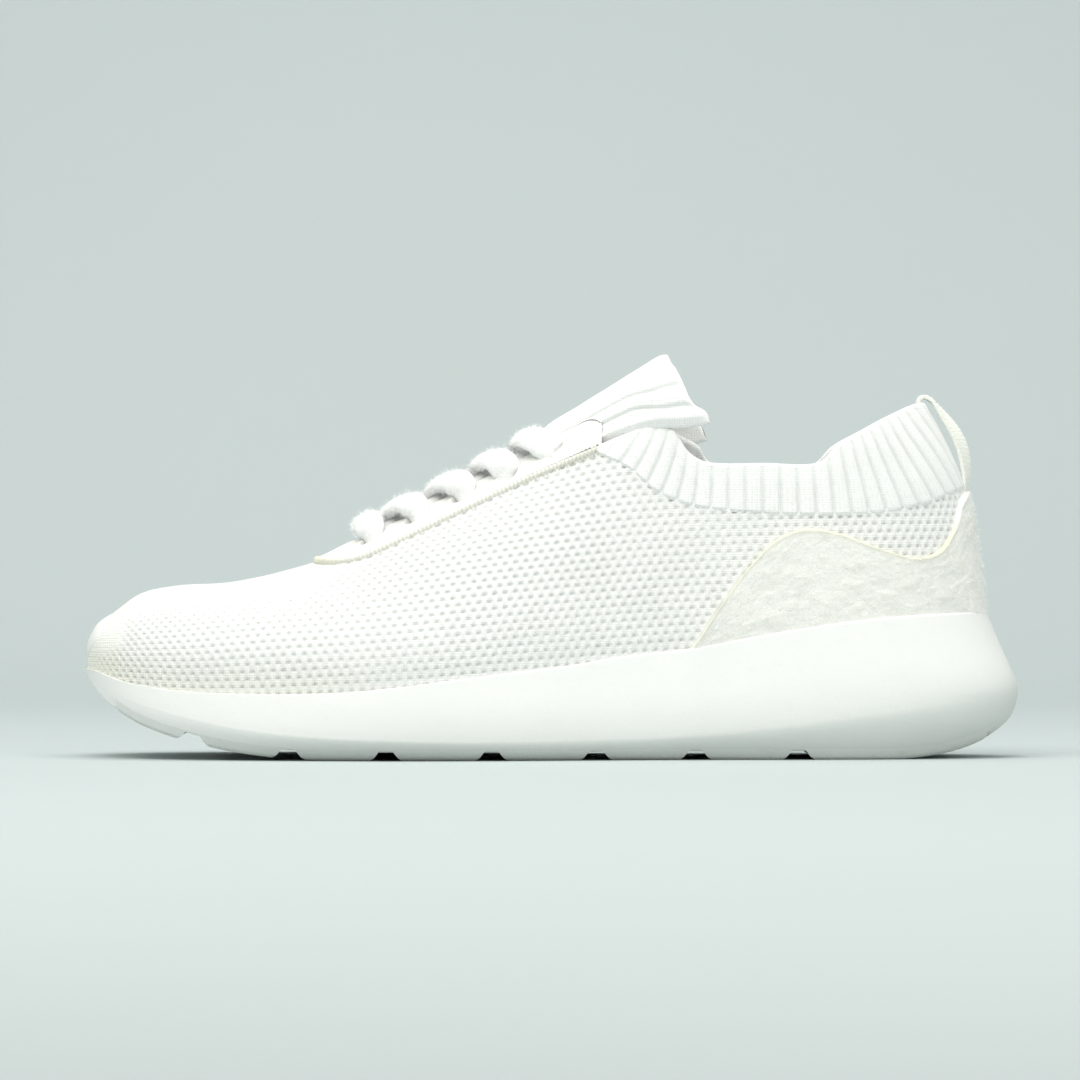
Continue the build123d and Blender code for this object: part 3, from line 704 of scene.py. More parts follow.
def build_lace():
    route = lace_route()
    path = even_line(spline_line("lace_route", route), 0.55)
    _, across, up = tube_frames(path, instep_up(path))
    ring = 22
    length = lengths_along(path)
    angle = np.linspace(0, 2 * math.pi, ring, endpoint=False)
    swell = 1 + 0.10 * np.sin(length / 7.0)[:, None] + 0.08 * np.sin(length / 2.7 + 1)[:, None]
    above = path[:, 2] - face_height(np.clip(path[:, 0], -75, 14), path[:, 1])
    shown = smooth_step(-5.5, -1.5, above)[:, None]
    wide, thick = (2.4 + 2.0 * shown) * swell, (2.2 + 0.1 * shown) * swell
    braid_a = np.sin(3 * angle[None] + length[:, None] * 2.1)
    braid_b = np.sin(3 * angle[None] - length[:, None] * 2.1)
    height = 0.16 * np.maximum(braid_a, braid_b)
    offset = (across[:, None] * (np.cos(angle)[None, :, None] * wide[..., None])
              + up[:, None] * (np.sin(angle)[None, :, None] * thick[..., None]))
    points = path[:, None] + offset
    rough = 0.5 * layered_noise(points, 2.4, 5, 3) + 0.5 * height
    points = points + offset / np.linalg.norm(offset, axis=-1, keepdims=True) * rough[..., None]
    # Painted shade in the dips of the braid.
    painted_shade = smooth_step(0.1, -0.5, rough)
    faces = tube_faces(len(path), ring, flip=True)
    lace = make_object("lace_braid", points, faces, lace_look, "shoe", {"painted_shade": painted_shade})
    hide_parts("lace")
    fuzz = build_fuzz("lace_fuzz", path, across, up, 4.3, 2.2, 22000)


def build_fuzz(name, path, across, up, wide, thick, count):
    """Loose fibre ends standing off the braid."""
    rng = np.random.default_rng(11)
    above = path[:, 2] > face_height(path[:, 0], path[:, 1]) - 3
    place = rng.choice(np.nonzero((path[:, 0] > -66) & (path[:, 0] < 9) & above)[0], count)
    turn = rng.uniform(0, 2 * math.pi, count)
    sideways, upward = across[place] * np.cos(turn)[:, None], up[place] * np.sin(turn)[:, None]
    radial = sideways + upward
    root = path[place] + sideways * wide + upward * thick
    return fibre_mesh(name, rng, root, radial, (0.6, 2.3), 0.9)


def fibre_mesh(name, rng, root, radial, reaches, spread):
    """Thin bent slivers standing off a surface."""
    count = len(root)
    way = unit(radial + rng.normal(0, spread, (count, 3)))
    reach = rng.uniform(*reaches, count)[:, None]
    bend = rng.normal(0, 0.5, (count, 3))
    width = FIBRE_HALF_WIDTH * unit(np.cross(way, rng.normal(0, 1, (count, 3))))
    middle = root + way * reach * 0.55
    end = root + (way + bend * 0.6) * reach
    points = np.stack([root - width, root + width, middle + width * 0.8, middle - width * 0.8, end], 1)
    base = np.arange(count)[:, None] * 5
    quads = (base + np.array([[0, 1, 2, 3]])).tolist()
    triangles = (base + np.array([[3, 2, 4]])).tolist()
    fuzz = make_object(name, points, quads + triangles, fuzz_look, "shoe", smooth=False)
    return fuzz


fuzz_look = cloth_material("lace_fibre", [0.93, 0.94, 0.93], WHITE, 0.5, 0.02)
build_lace()


# ---- walls -------------------------------------------------------------------------------------------
class Wall:
    """One side of the form as stations round the plan, read by running length up each profile."""

    def __init__(self, side, stations):
        self.side, self.stations = side, np.asarray(stations)
        self.points = np.array([wall_profile(station, side) for station in self.stations])
        self.normals = grid_normals(self.points.transpose(1, 0, 2), side).transpose(1, 0, 2)
        steps = np.linalg.norm(np.diff(self.points, axis=1), axis=-1)
        self.lengths = np.concatenate([np.zeros((len(stations), 1)), np.cumsum(steps, axis=1)], 1)

    def length_at(self, heights):
        """Running length where each profile reaches a height; heights is a function of x or numbers."""
        found = np.empty(len(self.stations))
        for index, (points, lengths) in enumerate(zip(self.points, self.lengths)):
            level = heights(points[:, 0]) if callable(heights) else np.full(len(points), heights[index])
            above = np.nonzero(points[:, 2] >= level)[0]
            if len(above) == 0:
                found[index] = lengths[-1]
                continue
            k = max(above[0], 1)
            gap = level - points[:, 2]
            share = gap[k - 1] / (gap[k - 1] - gap[k]) if gap[k - 1] != gap[k] else 0
            found[index] = lengths[k - 1] + share * (lengths[k] - lengths[k - 1])
        return found

    def read(self, lengths):
        """(points, normals) at running lengths, rows by stations."""
        places, normals = np.empty((*lengths.shape, 3)), np.empty((*lengths.shape, 3))
        for index, known in enumerate(self.lengths):
            for found, source in ((places, self.points), (normals, self.normals)):
                for axis in range(3):
                    found[:, index, axis] = np.interp(lengths[:, index], known, source[index, :, axis])
        return places, unit(normals)

    def top(self):
        return self.lengths[:, -1]


row_base = Track((-147, 24), (-110, 20.5), (-60, 22), (0, 27), (60, 31), (140, 33))
row_scale = Track((-147, 0.55), (-120, 0.8), (-90, 0.97), (-60, 1.0), (140, 1.0))
HOLE_PITCH, ROW_PITCH = 3.3, 2.45
CELL_COLUMNS, CELL_ROWS = 6, 5


def build_knit(side):
    """One side of the knitted upper, with its staggered slanted holes sunk into the surface."""
    stations, along = even_stations(side, HOLE_PITCH / CELL_COLUMNS)
    wall = Wall(side, stations)
    x = wall.points[:, 40, 0]
    base = wall.length_at(row_base)
    rows = np.arange(-3 * CELL_ROWS, 40 * CELL_ROWS + 1)
    wanted = base + rows[:, None] * (ROW_PITCH / CELL_ROWS) * row_scale(x)
    low = wall.length_at(lambda place: rim_z(place) - 2.0)
    stay = (x > -65) & (x < 15.5)
    rear = x >= 15.5
    high = wall.top().copy()
    high[stay] = np.minimum(wall.length_at(lambda place: stay_low_line(place) + 2.5), wall.top())[stay]
    high[rear] = wall.length_at(lambda place: rib_line(place) + 1.0)[rear]
    lengths = np.clip(wanted, low, high)
    places, normals = wall.read(lengths)
    # Hole pattern in cells: staggered by half a pitch from row to row, each a lens that leans.
    row = wanted * 0 + rows[:, None] / CELL_ROWS
    column = along[None] / HOLE_PITCH + 0 * row
    total = np.zeros(row.shape)
    nearest = np.round(row)
    for step in (-1, 0, 1):
        level = nearest + step
        shift = 0.5 * (level % 2)
        across = column - shift - np.round(column - shift)
        up = row - level
        lean = across * HOLE_PITCH - 0.35 * up * ROW_PITCH
        climb = up * ROW_PITCH + 0.25 * across * HOLE_PITCH
        total = np.maximum(total, np.exp(-((lean / 0.84) ** 2 + (climb / 0.54) ** 2) ** 1.4))
    ridge = 0.10 * np.cos(2 * math.pi * row)
    wander = layered_noise(places, 26, 31, 2)
    depth = 1.05 * np.clip(0.92 + 0.25 * wander, 0.6, 1.1)
    over_rim = places[..., 2] - rim_z(places[..., 0])
    toe = smooth_step(-145.5, -141, places[..., 0] - 9 * smooth_step(2.5, 12, over_rim))
    vamp = smooth_step(18, 34, np.abs(places[..., 1] - centre_y(places[..., 0])))
    vamp = np.where(places[..., 0] < -60, 0.35 + 0.65 * vamp, 1.0)
    depth = depth * toe * vamp
    fuzz = 0.05 * value_noise(places, 0.9, 3) + 0.18 * layered_noise(places, 9, 8, 2)
    lift = -depth * total + ridge * (0.4 + 0.6 * toe) + fuzz
    free = (wanted > low - 0.1) & (wanted < high + 0.1)
    lift = np.where(free, lift, 0.0)
    places = places + normals * lift[..., None]
    stain = 0.4 * smooth_step(12, 0, over_rim) * smooth_step(-40, -90, places[..., 0])
    stain = stain * (0.6 + 0.4 * layered_noise(places, 7, 17, 2))
    stain = stain + 0.2 * smooth_step(-128, -141, places[..., 0])
    clipped_low, clipped_high = wanted < low, wanted > high
    squeezed = (clipped_low[:-1] & clipped_low[1:]) | (clipped_high[:-1] & clipped_high[1:])
    faces = grid_faces(*places.shape[:2], flip=side > 0)
    gone = (squeezed[:, :-1] & squeezed[:, 1:]).reshape(-1)
    faces = faces[~gone]
    # Painted shade: the holes are darkened by their depth, more so on the upper instep, and the upper instep,
    # where the light falls strongest, is darkened overall as well.
    lit = smooth_step(40, 66, places[..., 2]) * smooth_step(26, 6, places[..., 0])
    painted_shade = np.clip(total * depth / 1.05 * (0.95 + 0.8 * lit) + 0.2 * lit, 0, 1.3)
    marks = {"painted_shade": painted_shade.reshape(-1), "stain": np.clip(stain, 0, 1).reshape(-1)}
    points, faces, marks = compact(places.reshape(-1, 3), faces, marks)
    name = "knit_lateral" if side < 0 else "knit_medial"
    knit = make_object(name, points, faces, knit_look, marks=marks)
    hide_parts("knit_upper")
    return knit


for side in (-1, 1):
    build_knit(side)


# ---- the collar ------------------------------------------------------------------------------------
top_line_medial = Track(
    (15.5, 99.0), (24, 102.4), (31, 104.3), (38, 103.8), (43, 101.2), (47.3, 98.6), (49.6, 94.6),
    (53, 93), (67, 92.8), (84, 93), (90, 98.6), (99, 103.6), (108, 108.4), (117.5, 112.4), (130, 113.2),
)
rib_lean = Track(
    (14, 0.75), (25, 0.6), (38, 0.35), (48, 0.08), (60, 0), (90, -0.03), (105, -0.2), (118, -0.32),
    (128, -0.25), (134, 0),
)
RIB_PITCH = 5.5
COLLAR_ROLL, COLLAR_LIFT = 1.6, 0.6
OUTER_ROWS, INNER_ROWS = 46, 30


def rib_pattern(place):
    """(height, painted shade in the grooves) of broad ribs with two fine wales in each, by place in rib
    pitches.
    """
    part = place - np.floor(place)
    edge = np.minimum(part, 1 - part)
    groove = np.exp(-((edge / 0.13) ** 2))
    fine = np.exp(-(((part - 0.36) / 0.05) ** 2)) + np.exp(-(((part - 0.64) / 0.05) ** 2))
    return 0.18 * np.sin(math.pi * part) - 1.0 * groove - 0.28 * fine, np.clip(groove + 0.3 * fine, 0, 1)


def build_collar(side):
    stations, _ = even_stations(side, 0.5, first=13.6)
    wall = Wall(side, stations)
    crest = top_line if side < 0 else top_line_medial
    start = wall.length_at(lambda x: rib_line(x) - 0.6)
    end = wall.length_at(lambda x: crest(x) - COLLAR_ROLL)
    middle, _ = wall.read((wall.length_at(rib_line) + 6)[None])
    along = lengths_along(middle[0])
    x_here = middle[0, :, 0]
    outer = np.linspace(0, 1, OUTER_ROWS)[:, None]
    turn = np.linspace(0, math.pi, 13)[1:-1, None]
    inner = np.linspace(1, 0, INNER_ROWS)[:, None]
    drop = end - start
    lengths = np.concatenate([
        start + drop * outer, end + COLLAR_ROLL * np.sin(turn), start - 3 + (drop + 3) * inner])
    lift = np.concatenate([
        np.full((OUTER_ROWS, 1), COLLAR_LIFT), COLLAR_LIFT - COLLAR_ROLL + COLLAR_ROLL * np.cos(turn),
        np.full((INNER_ROWS, 1), COLLAR_LIFT - 2 * COLLAR_ROLL)]) + 0 * lengths
    places, normals = wall.read(lengths)
    climb = lengths - start
    height, painted_shade = rib_pattern((along + (0.35 * RIB_PITCH) - rib_lean(x_here) * climb) / RIB_PITCH)
    near_top = smooth_step(7.0, 1.0, end - lengths)
    strength = 0.8 - 0.4 * near_top
    rolled = np.concatenate([np.ones((OUTER_ROWS, 1)), np.cos(turn) * 0.5, -0.5 * np.ones((INNER_ROWS, 1))])
    lift = lift + height * strength * rolled
    uneven = 0.25 * layered_noise(places, 14, 72, 2) * np.sign(rolled + 0.01)
    lift += 0.05 * value_noise(places, 0.8, 71) + uneven
    under = smooth_step(0.9, 0.0, climb)
    lift[:OUTER_ROWS] -= (0.8 * under)[:OUTER_ROWS]
    places = places + normals * lift[..., None]
    name = "collar_lateral" if side < 0 else "collar_medial"
    # Painted shade in the rib grooves, fainter near the top.
    marks = {"painted_shade": painted_shade * strength * 0.6, "stain": 0.0 * painted_shade}
    collar = grid_object(name, places, rib_look, flip=side > 0, marks=marks)
    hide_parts("collar_rib")


for side in (-1, 1):
    build_collar(side)


# ---- the eyestay -------------------------------------------------------------------------------------
STAY_END_X, STAY_TURN_X, STAY_FRONT = 15.6, -56.0, 18.5
stay_inner_y = Track((-56, 8.2), (-46, 9), (-10, 9.4), (3, 10.6), (11, 14.5), (16, 18.8))


def stay_outer_y(x, side):
    """Plan reach at which the instep comes down to the eyestay's lower edge."""
    low, high = np.full(x.shape, 5.0), np.full(x.shape, 50.0)
    for _ in range(24):
        middle = (low + high) / 2
        over = face_height(x, side * middle) > stay_low_line(x)
        low, high = np.where(over, middle, low), np.where(over, high, middle)
    return low


def stay_edges():
    """Plan points of the eyestay's inner and outer edge, round the horseshoe from side to side."""
    inner, outer = [], []
    for side in (-1, 1):
        x = np.linspace(STAY_END_X, STAY_TURN_X, 130)
        reach = stay_outer_y(x, side)
        inner_run = np.stack([x, side * stay_inner_y(x)], -1)
        outer_run = np.stack([x, side * reach], -1)
        turn = np.linspace(math.pi / 2, 0, 40)[1:]
        inner_y = side * stay_inner_y(STAY_TURN_X) * np.sin(turn)
        inner_turn = np.stack([STAY_TURN_X - 6 * np.cos(turn), inner_y], -1)
        outer_y = side * reach[-1] * np.sin(turn) ** 0.9
        outer_turn = np.stack([STAY_TURN_X - STAY_FRONT * np.cos(turn), outer_y], -1)
        inner.append(np.concatenate([inner_run, inner_turn]))
        outer.append(np.concatenate([outer_run, outer_turn]))
    join = lambda pair: np.concatenate([pair[0], pair[1][::-1][1:]])
    return join(inner), join(outer)


def build_eyestay():
    inner, outer = stay_edges()
    span = np.linalg.norm(inner - outer, axis=1)[None]
    near = np.array([0.0, 0.02, 0.12, 0.3, 0.6, 0.95])
    near_lift = np.array([-0.7, 0.35, 0.8, 1.05, 1.15, 1.15])
    middle = np.linspace(0.08, 0.92, 34)
    from_outer = np.concatenate([
        near[:, None] + 0 * span, middle[:, None] * span, span - near[::-1][:, None], span, span])
    lift = np.concatenate([near_lift, np.full(34, 1.15), near_lift[::-1], [-1.2, -2.2]])[:, None] + 0 * span
    share = np.clip(from_outer / span, 0, 1)[..., None]
    plan = outer[None] * (1 - share) + inner[None] * share
    ends = np.minimum(lengths_along(outer), lengths_along(outer)[::-1])[None]
    lift = np.where(ends < 0.01, np.minimum(lift, -0.6), np.where(ends < 0.8, np.minimum(lift, 0.7), lift))
    painted_shade = np.zeros(lift.shape)
    for x in EYELET_X:
        for y in (-EYELET_Y, EYELET_Y):
            away = np.hypot(plan[..., 0] - x, plan[..., 1] - y)
            pit = smooth_step(3.0, 2.2, away)
            lift = lift - 3.0 * pit + 0.25 * np.exp(-(((away - 3.5) / 0.7) ** 2))
            # Painted shade inside each eyelet pit.
            painted_shade = np.maximum(painted_shade, smooth_step(3.0, 2.0, away))
    lift = lift + 0.12 * layered_noise(np.concatenate([plan, 0 * plan[..., :1]], -1), 6, 44, 3) * (lift > 0.5)
    places = face_point(plan[..., 0], plan[..., 1], lift)
    stay = grid_object("eyestay_band", places, stay_look, marks={"painted_shade": painted_shade})
    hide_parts("eyestay")
    build_stay_stitches(inner, outer)


def small_tubes(name, lines, radius, material, body="shoe", sides=6):
    """Short threads as one mesh: each line is a few points."""
    points, faces = [], []
    for line in lines:
        line = np.asarray(line)
        _, across, up = tube_frames_short(line)
        base = len(points)
        angle = np.linspace(0, 2 * math.pi, sides, endpoint=False)
        taper = np.sin(np.linspace(0.25, math.pi - 0.25, len(line))) ** 0.5
        for index in range(len(line)):
            for turn in angle:
                outward = across[index] * math.cos(turn) + up[index] * math.sin(turn)
                points.append(line[index] + radius * taper[index] * outward)
        for index in range(len(line) - 1):
            for k in range(sides):
                a, b = base + index * sides + k, base + index * sides + (k + 1) % sides
                faces.append((a, b, b + sides, a + sides))
        faces.append(tuple(range(base + sides - 1, base - 1, -1)))
        faces.append(tuple(base + (len(line) - 1) * sides + k for k in range(sides)))
    obj = make_object(name, points, faces, material, body)
    return obj


def tube_frames_short(line):
    """Tangent, side and up directions along a short thread, the side held off one skew direction."""
    tangent = unit(np.gradient(line, axis=0))
    across = unit(np.cross(tangent, [0.31, 0.17, 0.93]))
    return tangent, across, np.cross(across, tangent)


# (share of the reach inward from the edge, height over the form) along one stitch
STITCH_SHAPE = ((-0.75, 0.05), (-0.35, 0.45), (-0.05, 0.95), (0.35, 1.3), (0.75, 1.38), (1.0, 1.15))


def build_stay_stitches(inner, outer):
    """Overcast stitches over the eyestay's outer edge."""
    length = lengths_along(outer)
    way = unit(inner - outer)
    lines = []
    rng = np.random.default_rng(4)
    for at in np.arange(1.0, length[-1] - 1, 1.25):
        edge = np.array([np.interp(at, length, outer[:, axis]) for axis in range(2)])
        inward = np.array([np.interp(at, length, way[:, axis]) for axis in range(2)])
        slip = np.array([-inward[1], inward[0]])
        reach = 1.0 + rng.uniform(-0.12, 0.12)
        line = []
        for share, lift in STITCH_SHAPE:
            spot = edge + inward * share * reach + slip * share * 0.28
            line.append(face_point(spot[0], spot[1], lift))
        lines.append(line)
    small_tubes("eyestay_stitching", lines, 0.22, stitch_look)


build_eyestay()


# ---- the heel piece ----------------------------------------------------------------------------------
def both_sides(spacing, first=FORM_TOE_X, last=HEEL_START + 1):
    """The walls of the two sides, lateral first."""
    return [Wall(side, even_stations(side, spacing, first, last)[0]) for side in (-1, 1)]


def join_columns(pair, round_heel=True):
    """Columns of both sides in one run, lateral first, meeting at the heel or the toe."""
    near, far = pair
    if round_heel:
        return np.concatenate([near, far[:, ::-1][:, 1:]], 1)
    return np.concatenate([near[:, ::-1], far[:, 1:]], 1)


def build_heel_piece():
    parts, normals, rises, drops = [], [], [], []
    for wall in both_sides(0.75, first=41.5):
        low = wall.length_at(lambda x: rim_z(x) - 1.6)
        high = np.maximum(wall.length_at(heel_piece_line), low + 0.3)
        share = np.linspace(0, 1, 64)[:, None]
        lengths = low + (high - low) * share
        lengths = np.concatenate([lengths[:-1], high[None] - 0.25, high[None] - 0.02, high[None]])
        lengths = np.maximum(lengths, low)
        place, normal = wall.read(lengths)
        parts.append(place)
        normals.append(normal)
        rises.append(high - lengths)
        drops.append(np.broadcast_to(high - low, lengths.shape))
    places, normals = join_columns(parts), join_columns(normals)
    from_edge, tall = join_columns(rises), join_columns(drops)
    edge = smooth_step(0.0, 0.7, from_edge) * smooth_step(0.3, 1.8, tall)
    clump = layered_noise(places, 3.4, 91, 4)
    fine = value_noise(places, 0.9, 95)
    back = smooth_step(17, 15.2, np.abs(places[..., 1])) * smooth_step(108, 116, places[..., 0])
    lift = 1.25 * edge - 0.5 * (1 - edge) + edge * (0.42 * clump + 0.16 * fine + 0.45 * back)
    lift += 0.22 * np.exp(-(((from_edge - 1.0) / 0.6) ** 2)) * edge
    places = places + normals * lift[..., None]
    # Painted shade in the dips between the clumps of the nap.
    painted_shade = np.clip(0.35 - 0.8 * clump, 0, 0.8) * edge
    stain = 0.8 * np.exp(-((from_edge / 1.5) ** 2)) * (1 - back) + 0.3 * np.clip(clump, 0, 1)
    piece = grid_object("heel_piece", places, suede_look, marks={"painted_shade": painted_shade, "stain": stain})
    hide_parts("heel_overlay")
    rng = np.random.default_rng(23)
    inner_part = np.nonzero((from_edge > 1.0).reshape(-1) & (tall > 3).reshape(-1))[0]
    chosen = rng.choice(inner_part, 16000)
    roots, outward = places.reshape(-1, 3)[chosen], normals.reshape(-1, 3)[chosen]
    roots = roots + rng.uniform(-0.3, 0.3, roots.shape)
    fibre_mesh("heel_fibres", rng, roots - 0.05 * outward, outward, (0.35, 1.0), 1.0)


build_heel_piece()


# ---- the toe cap ---------------------------------------------------------------------------------------
def build_toe_cap():
    parts, normals = [], []
    for wall in both_sides(0.5, last=-134):
        low = wall.length_at(lambda x: rim_z(x) - 1.5)
        high = wall.top()
        lengths = low + (high - low) * np.linspace(0, 1, 60)[:, None]
        place, normal = wall.read(lengths)
        parts.append(place)
        normals.append(normal)
    places, normals = join_columns(parts, False), join_columns(normals, False)
    edge_x = np.interp(places[..., 2], [29, 34, 38, 46, 58], [-149.5, -146.2, -143.6, -139.6, -138.6]) + 1.0
    inside = smooth_step(0.6, -0.5, places[..., 0] - edge_x)
    lift = 0.5 * inside - 0.3 + 0.05 * layered_noise(places, 4, 12, 2)
    keep = (places[..., 0] < edge_x + 1.6)
    places = places + normals * lift[..., None]
    cap = grid_object("toe_film", places, film_look, keep=keep)
    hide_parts("toe_cap")


build_toe_cap()


# ---- the sole ------------------------------------------------------------------------------------------
PAD_THICKNESS = 2.8
PAD_GAP_CENTRES = [-111.5, -81.5, -51.2, -18.5, 14.0, 45.0, 77.2]
PAD_GAP_LOW, PAD_GAP_HIGH = 8.6, 4.6
FIRST_PAD_X, LAST_PAD_X = -136.0, 137.0


def rim_reach(x):
    return 1.0 + 0.9 * smooth_step(36, 48, x)


def sole_reach(x, z):
    """How far the sole stands out from the form: widest at the crease and tucked in below it."""
    crease, flare = crease_z(x), sole_flare(x)
    upper = flare - (flare - rim_reach(x)) * np.clip((z - crease) / (rim_z(x) - crease), 0, 1.2)
    lower = flare - sole_tuck(x) * np.clip((crease - z) / crease, 0, 1.3) ** 1.5
    gap = z - crease
    return np.where(gap > 0, upper, lower) - 0.12 * np.exp(-((gap / 1.6) ** 2))


def sole_point(side, turn, z):
    """A point of the sole's outer face; turn is below 0 round the toe and above 1 round the heel."""
    turn = np.asarray(turn, float) + 0 * z
    toe_angle = np.clip(turn + 1, 0, 1) * math.pi / 2
    heel_angle = np.clip(2 - turn, 0, 1) * math.pi / 2
    toe_x = TOE_START + (TOE_X - TOE_START) * np.cos(toe_angle).clip(0) ** (2 / TOE_POWER)
    heel_x = HEEL_START + (sole_heel_x(z) - HEEL_START) * np.cos(heel_angle).clip(0) ** (2 / HEEL_POWER)
    middle = TOE_START + (HEEL_START - TOE_START) * np.clip(turn, 0, 1)
    x = np.where(turn < 0, toe_x, np.where(turn > 1, heel_x, middle))
    factor = np.where(turn < 0, np.sin(toe_angle) ** (2 / TOE_POWER),
                      np.where(turn > 1, np.sin(heel_angle) ** (2 / HEEL_POWER), 1.0))
    base = lateral_half(x) if side < 0 else medial_half(x)
    return x, centre_y(x) + side * (base + sole_reach(x, z)) * factor


def even_turns(side, spacing):
    """Turns an even distance apart round one side of the sole."""
    fine = np.concatenate([
        -1 + np.linspace(0, 1, 300), np.linspace(0, 1, 200)[1:], 1 + np.linspace(0, 1, 300)[1:]])
    x, y = sole_point(side, fine, np.full(len(fine), 24.0))
    length = np.concatenate([[0], np.cumsum(np.hypot(np.diff(x), np.diff(y)))])
    return np.interp(np.linspace(0, length[-1], int(length[-1] / spacing) + 1), length, fine)


def build_midsole():
    runs = []
    for side in (-1, 1):
        turns = even_turns(side, 0.9)[None]
        share = np.concatenate([
            [0.0, 0.006, 0.02, 0.045, 0.08], np.linspace(0.12, 0.93, 40), [0.955, 0.98, 0.993]])[:, None]
        x = sole_point(side, turns, 24 + 0 * share)[0]
        for _ in range(5):
            over_pads = smooth_step(-136.6, -135.4, x) * smooth_step(137.6, 136.4, x)
            floor = ground_z(x) + PAD_THICKNESS * over_pads
            z = floor + (rim_z(x) - floor) * share
            x, y = sole_point(side, turns, z)
        centre = centre_y(x)
        tall = rim_z(x) - floor
        rounded = 0.35 * np.clip(1 - share * tall / 0.4, 0, 1) ** 2
        half = np.abs(y - centre)
        y = centre + side * np.maximum(half - np.minimum(rounded, half * 0.3), 0)
        wall = np.stack([x, y, z], -1)
        lip = []
        for inset, drop in ((0.12, 0.25), (0.4, 0.06), (0.9, 0.0), (1.9, 0.12), (3.2, 0.6)):
            scale = np.maximum(1 - inset / np.maximum(half[-1], 0.5), 0.0)
            inward = centre[-1] + (y[-1] - centre[-1]) * scale
            shift = np.where(turns[0] > 1, -inset, np.where(turns[0] < 0, inset, 0)) * np.clip(
                np.abs(turns[0] - 0.5) - 0.5, 0, 1) ** 2
            lip.append(np.stack([x[-1] + shift, inward, rim_z(x[-1]) - drop], -1))
        bottom = []
        for share_in in np.linspace(0, 0.985, 26):
            spot = wall[0].copy()
            spot[:, 1] = centre[0] + (spot[:, 1] - centre[0]) * share_in
            bottom.append(spot)
        runs.append(np.concatenate([np.array(bottom), wall, np.array(lip)]))
    grid = join_columns(runs, True)
    normals = grid_normals(grid, -1)
    grid = grid + normals * (0.06 * layered_noise(grid, 11, 61, 3))[..., None]
    # Painted shade: the wall is darkened from above the crease down to the ground, less so towards the toe.
    low_part = smooth_step(crease_z(grid[..., 0]) + 17, ground_z(grid[..., 0]) + 1, grid[..., 2])
    low_part = low_part * (0.15 + 0.85 * smooth_step(-135, -30, grid[..., 0]))
    sole = grid_object("foam_sole", grid, foam_look, marks={"painted_shade": 0.8 * low_part})
    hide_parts("midsole")


def build_pad(number, start, end):
    """One tread pad: slanted ends, a rounded rim and moulded grooves across its face."""
    lean = (PAD_GAP_LOW - PAD_GAP_HIGH) / 2 / PAD_THICKNESS
    count = int((end - start) / 0.55)
    part = np.linspace(0, 1, count + 1)
    rows = []
    heights = [PAD_THICKNESS + 0.6, PAD_THICKNESS, 1.8, 0.9, 0.4, 0.1]
    across = np.linspace(-1, 1, 71)

    def edge(side, height):
        spread = lean * height - 0.9 * max(1 - height / 1.3, 0) ** 2
        x = start - spread + (end - start + 2 * spread) * part
        z = ground_z(x) + height
        toe = (TOE_START - x) / (TOE_START - TOE_X)
        toe = np.arccos(np.clip(toe, 0, 1) ** (TOE_POWER / 2)) / (math.pi / 2)
        heel = (x - HEEL_START) / (sole_heel_x(z) - HEEL_START)
        heel = np.arccos(np.clip(heel, 0, 1) ** (HEEL_POWER / 2))
        turn = np.where(x < TOE_START, toe - 1, np.where(
            x > HEEL_START, 2 - heel / (math.pi / 2), (x - TOE_START) / (HEEL_START - TOE_START)))
        _, y = sole_point(side, turn, z)
        y = y - side * 0.8 * np.clip(1 - height / 1.0, 0, 1) ** 2
        return np.stack([x, y, z], -1)

    for height in heights:
        rows.append(edge(-1, height))
    low_near, low_far = edge(-1, 0.0), edge(1, 0.0)
    for share in (across + 1) / 2:
        row = low_near * (1 - share) + low_far * share
        inside = smooth_step(0.02, 0.08, min(share, 1 - share))
        ends = smooth_step(0.5, 2.5, np.minimum(row[:, 0] - start, end - row[:, 0]))
        wave = np.abs(((row[:, 0] + 0.12 * np.abs(row[:, 1])) / 5.2) % 1 - 0.5) * 2
        groove = smooth_step(0.78, 0.92, wave) * 0.9
        teeth = smooth_step(0.3, 0.7, np.abs((row[:, 0] / 2.6) % 1 - 0.5) * 2) * 0.5
        teeth = teeth * smooth_step(96, 99, row[:, 0])
        row = row.copy()
        row[:, 2] += groove * inside * ends + teeth * smooth_step(130, 126, row[:, 0])
        rows.append(row)
    for height in heights[::-1]:
        rows.append(edge(1, height))
    grid = np.array(rows)
    count_rows, columns = grid.shape[:2]
    faces = grid_faces(count_rows, columns).tolist()
    first = [r * columns for r in range(count_rows)]
    last = [r * columns + columns - 1 for r in range(count_rows)]
    faces += [first, last[::-1]]
    end_row = (count_rows - 1) * columns
    faces += [(c, c + 1, end_row + c + 1, end_row + c)[::-1] for c in range(columns - 1)]
    pad = make_object(f"tread_pad_{number}", grid, faces, tread_look, "shoe", smooth=False)
    fix_normals(pad, merge=False)
    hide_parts(f"outsole_pad_{number}")


build_midsole()
half_gap = PAD_GAP_LOW / 2
PAD_STARTS = [FIRST_PAD_X] + [gap + half_gap for gap in PAD_GAP_CENTRES]
PAD_ENDS = [gap - half_gap for gap in PAD_GAP_CENTRES] + [LAST_PAD_X]
for number, (start, end) in enumerate(zip(PAD_STARTS, PAD_ENDS), start=1):
    build_pad(number, start, end)


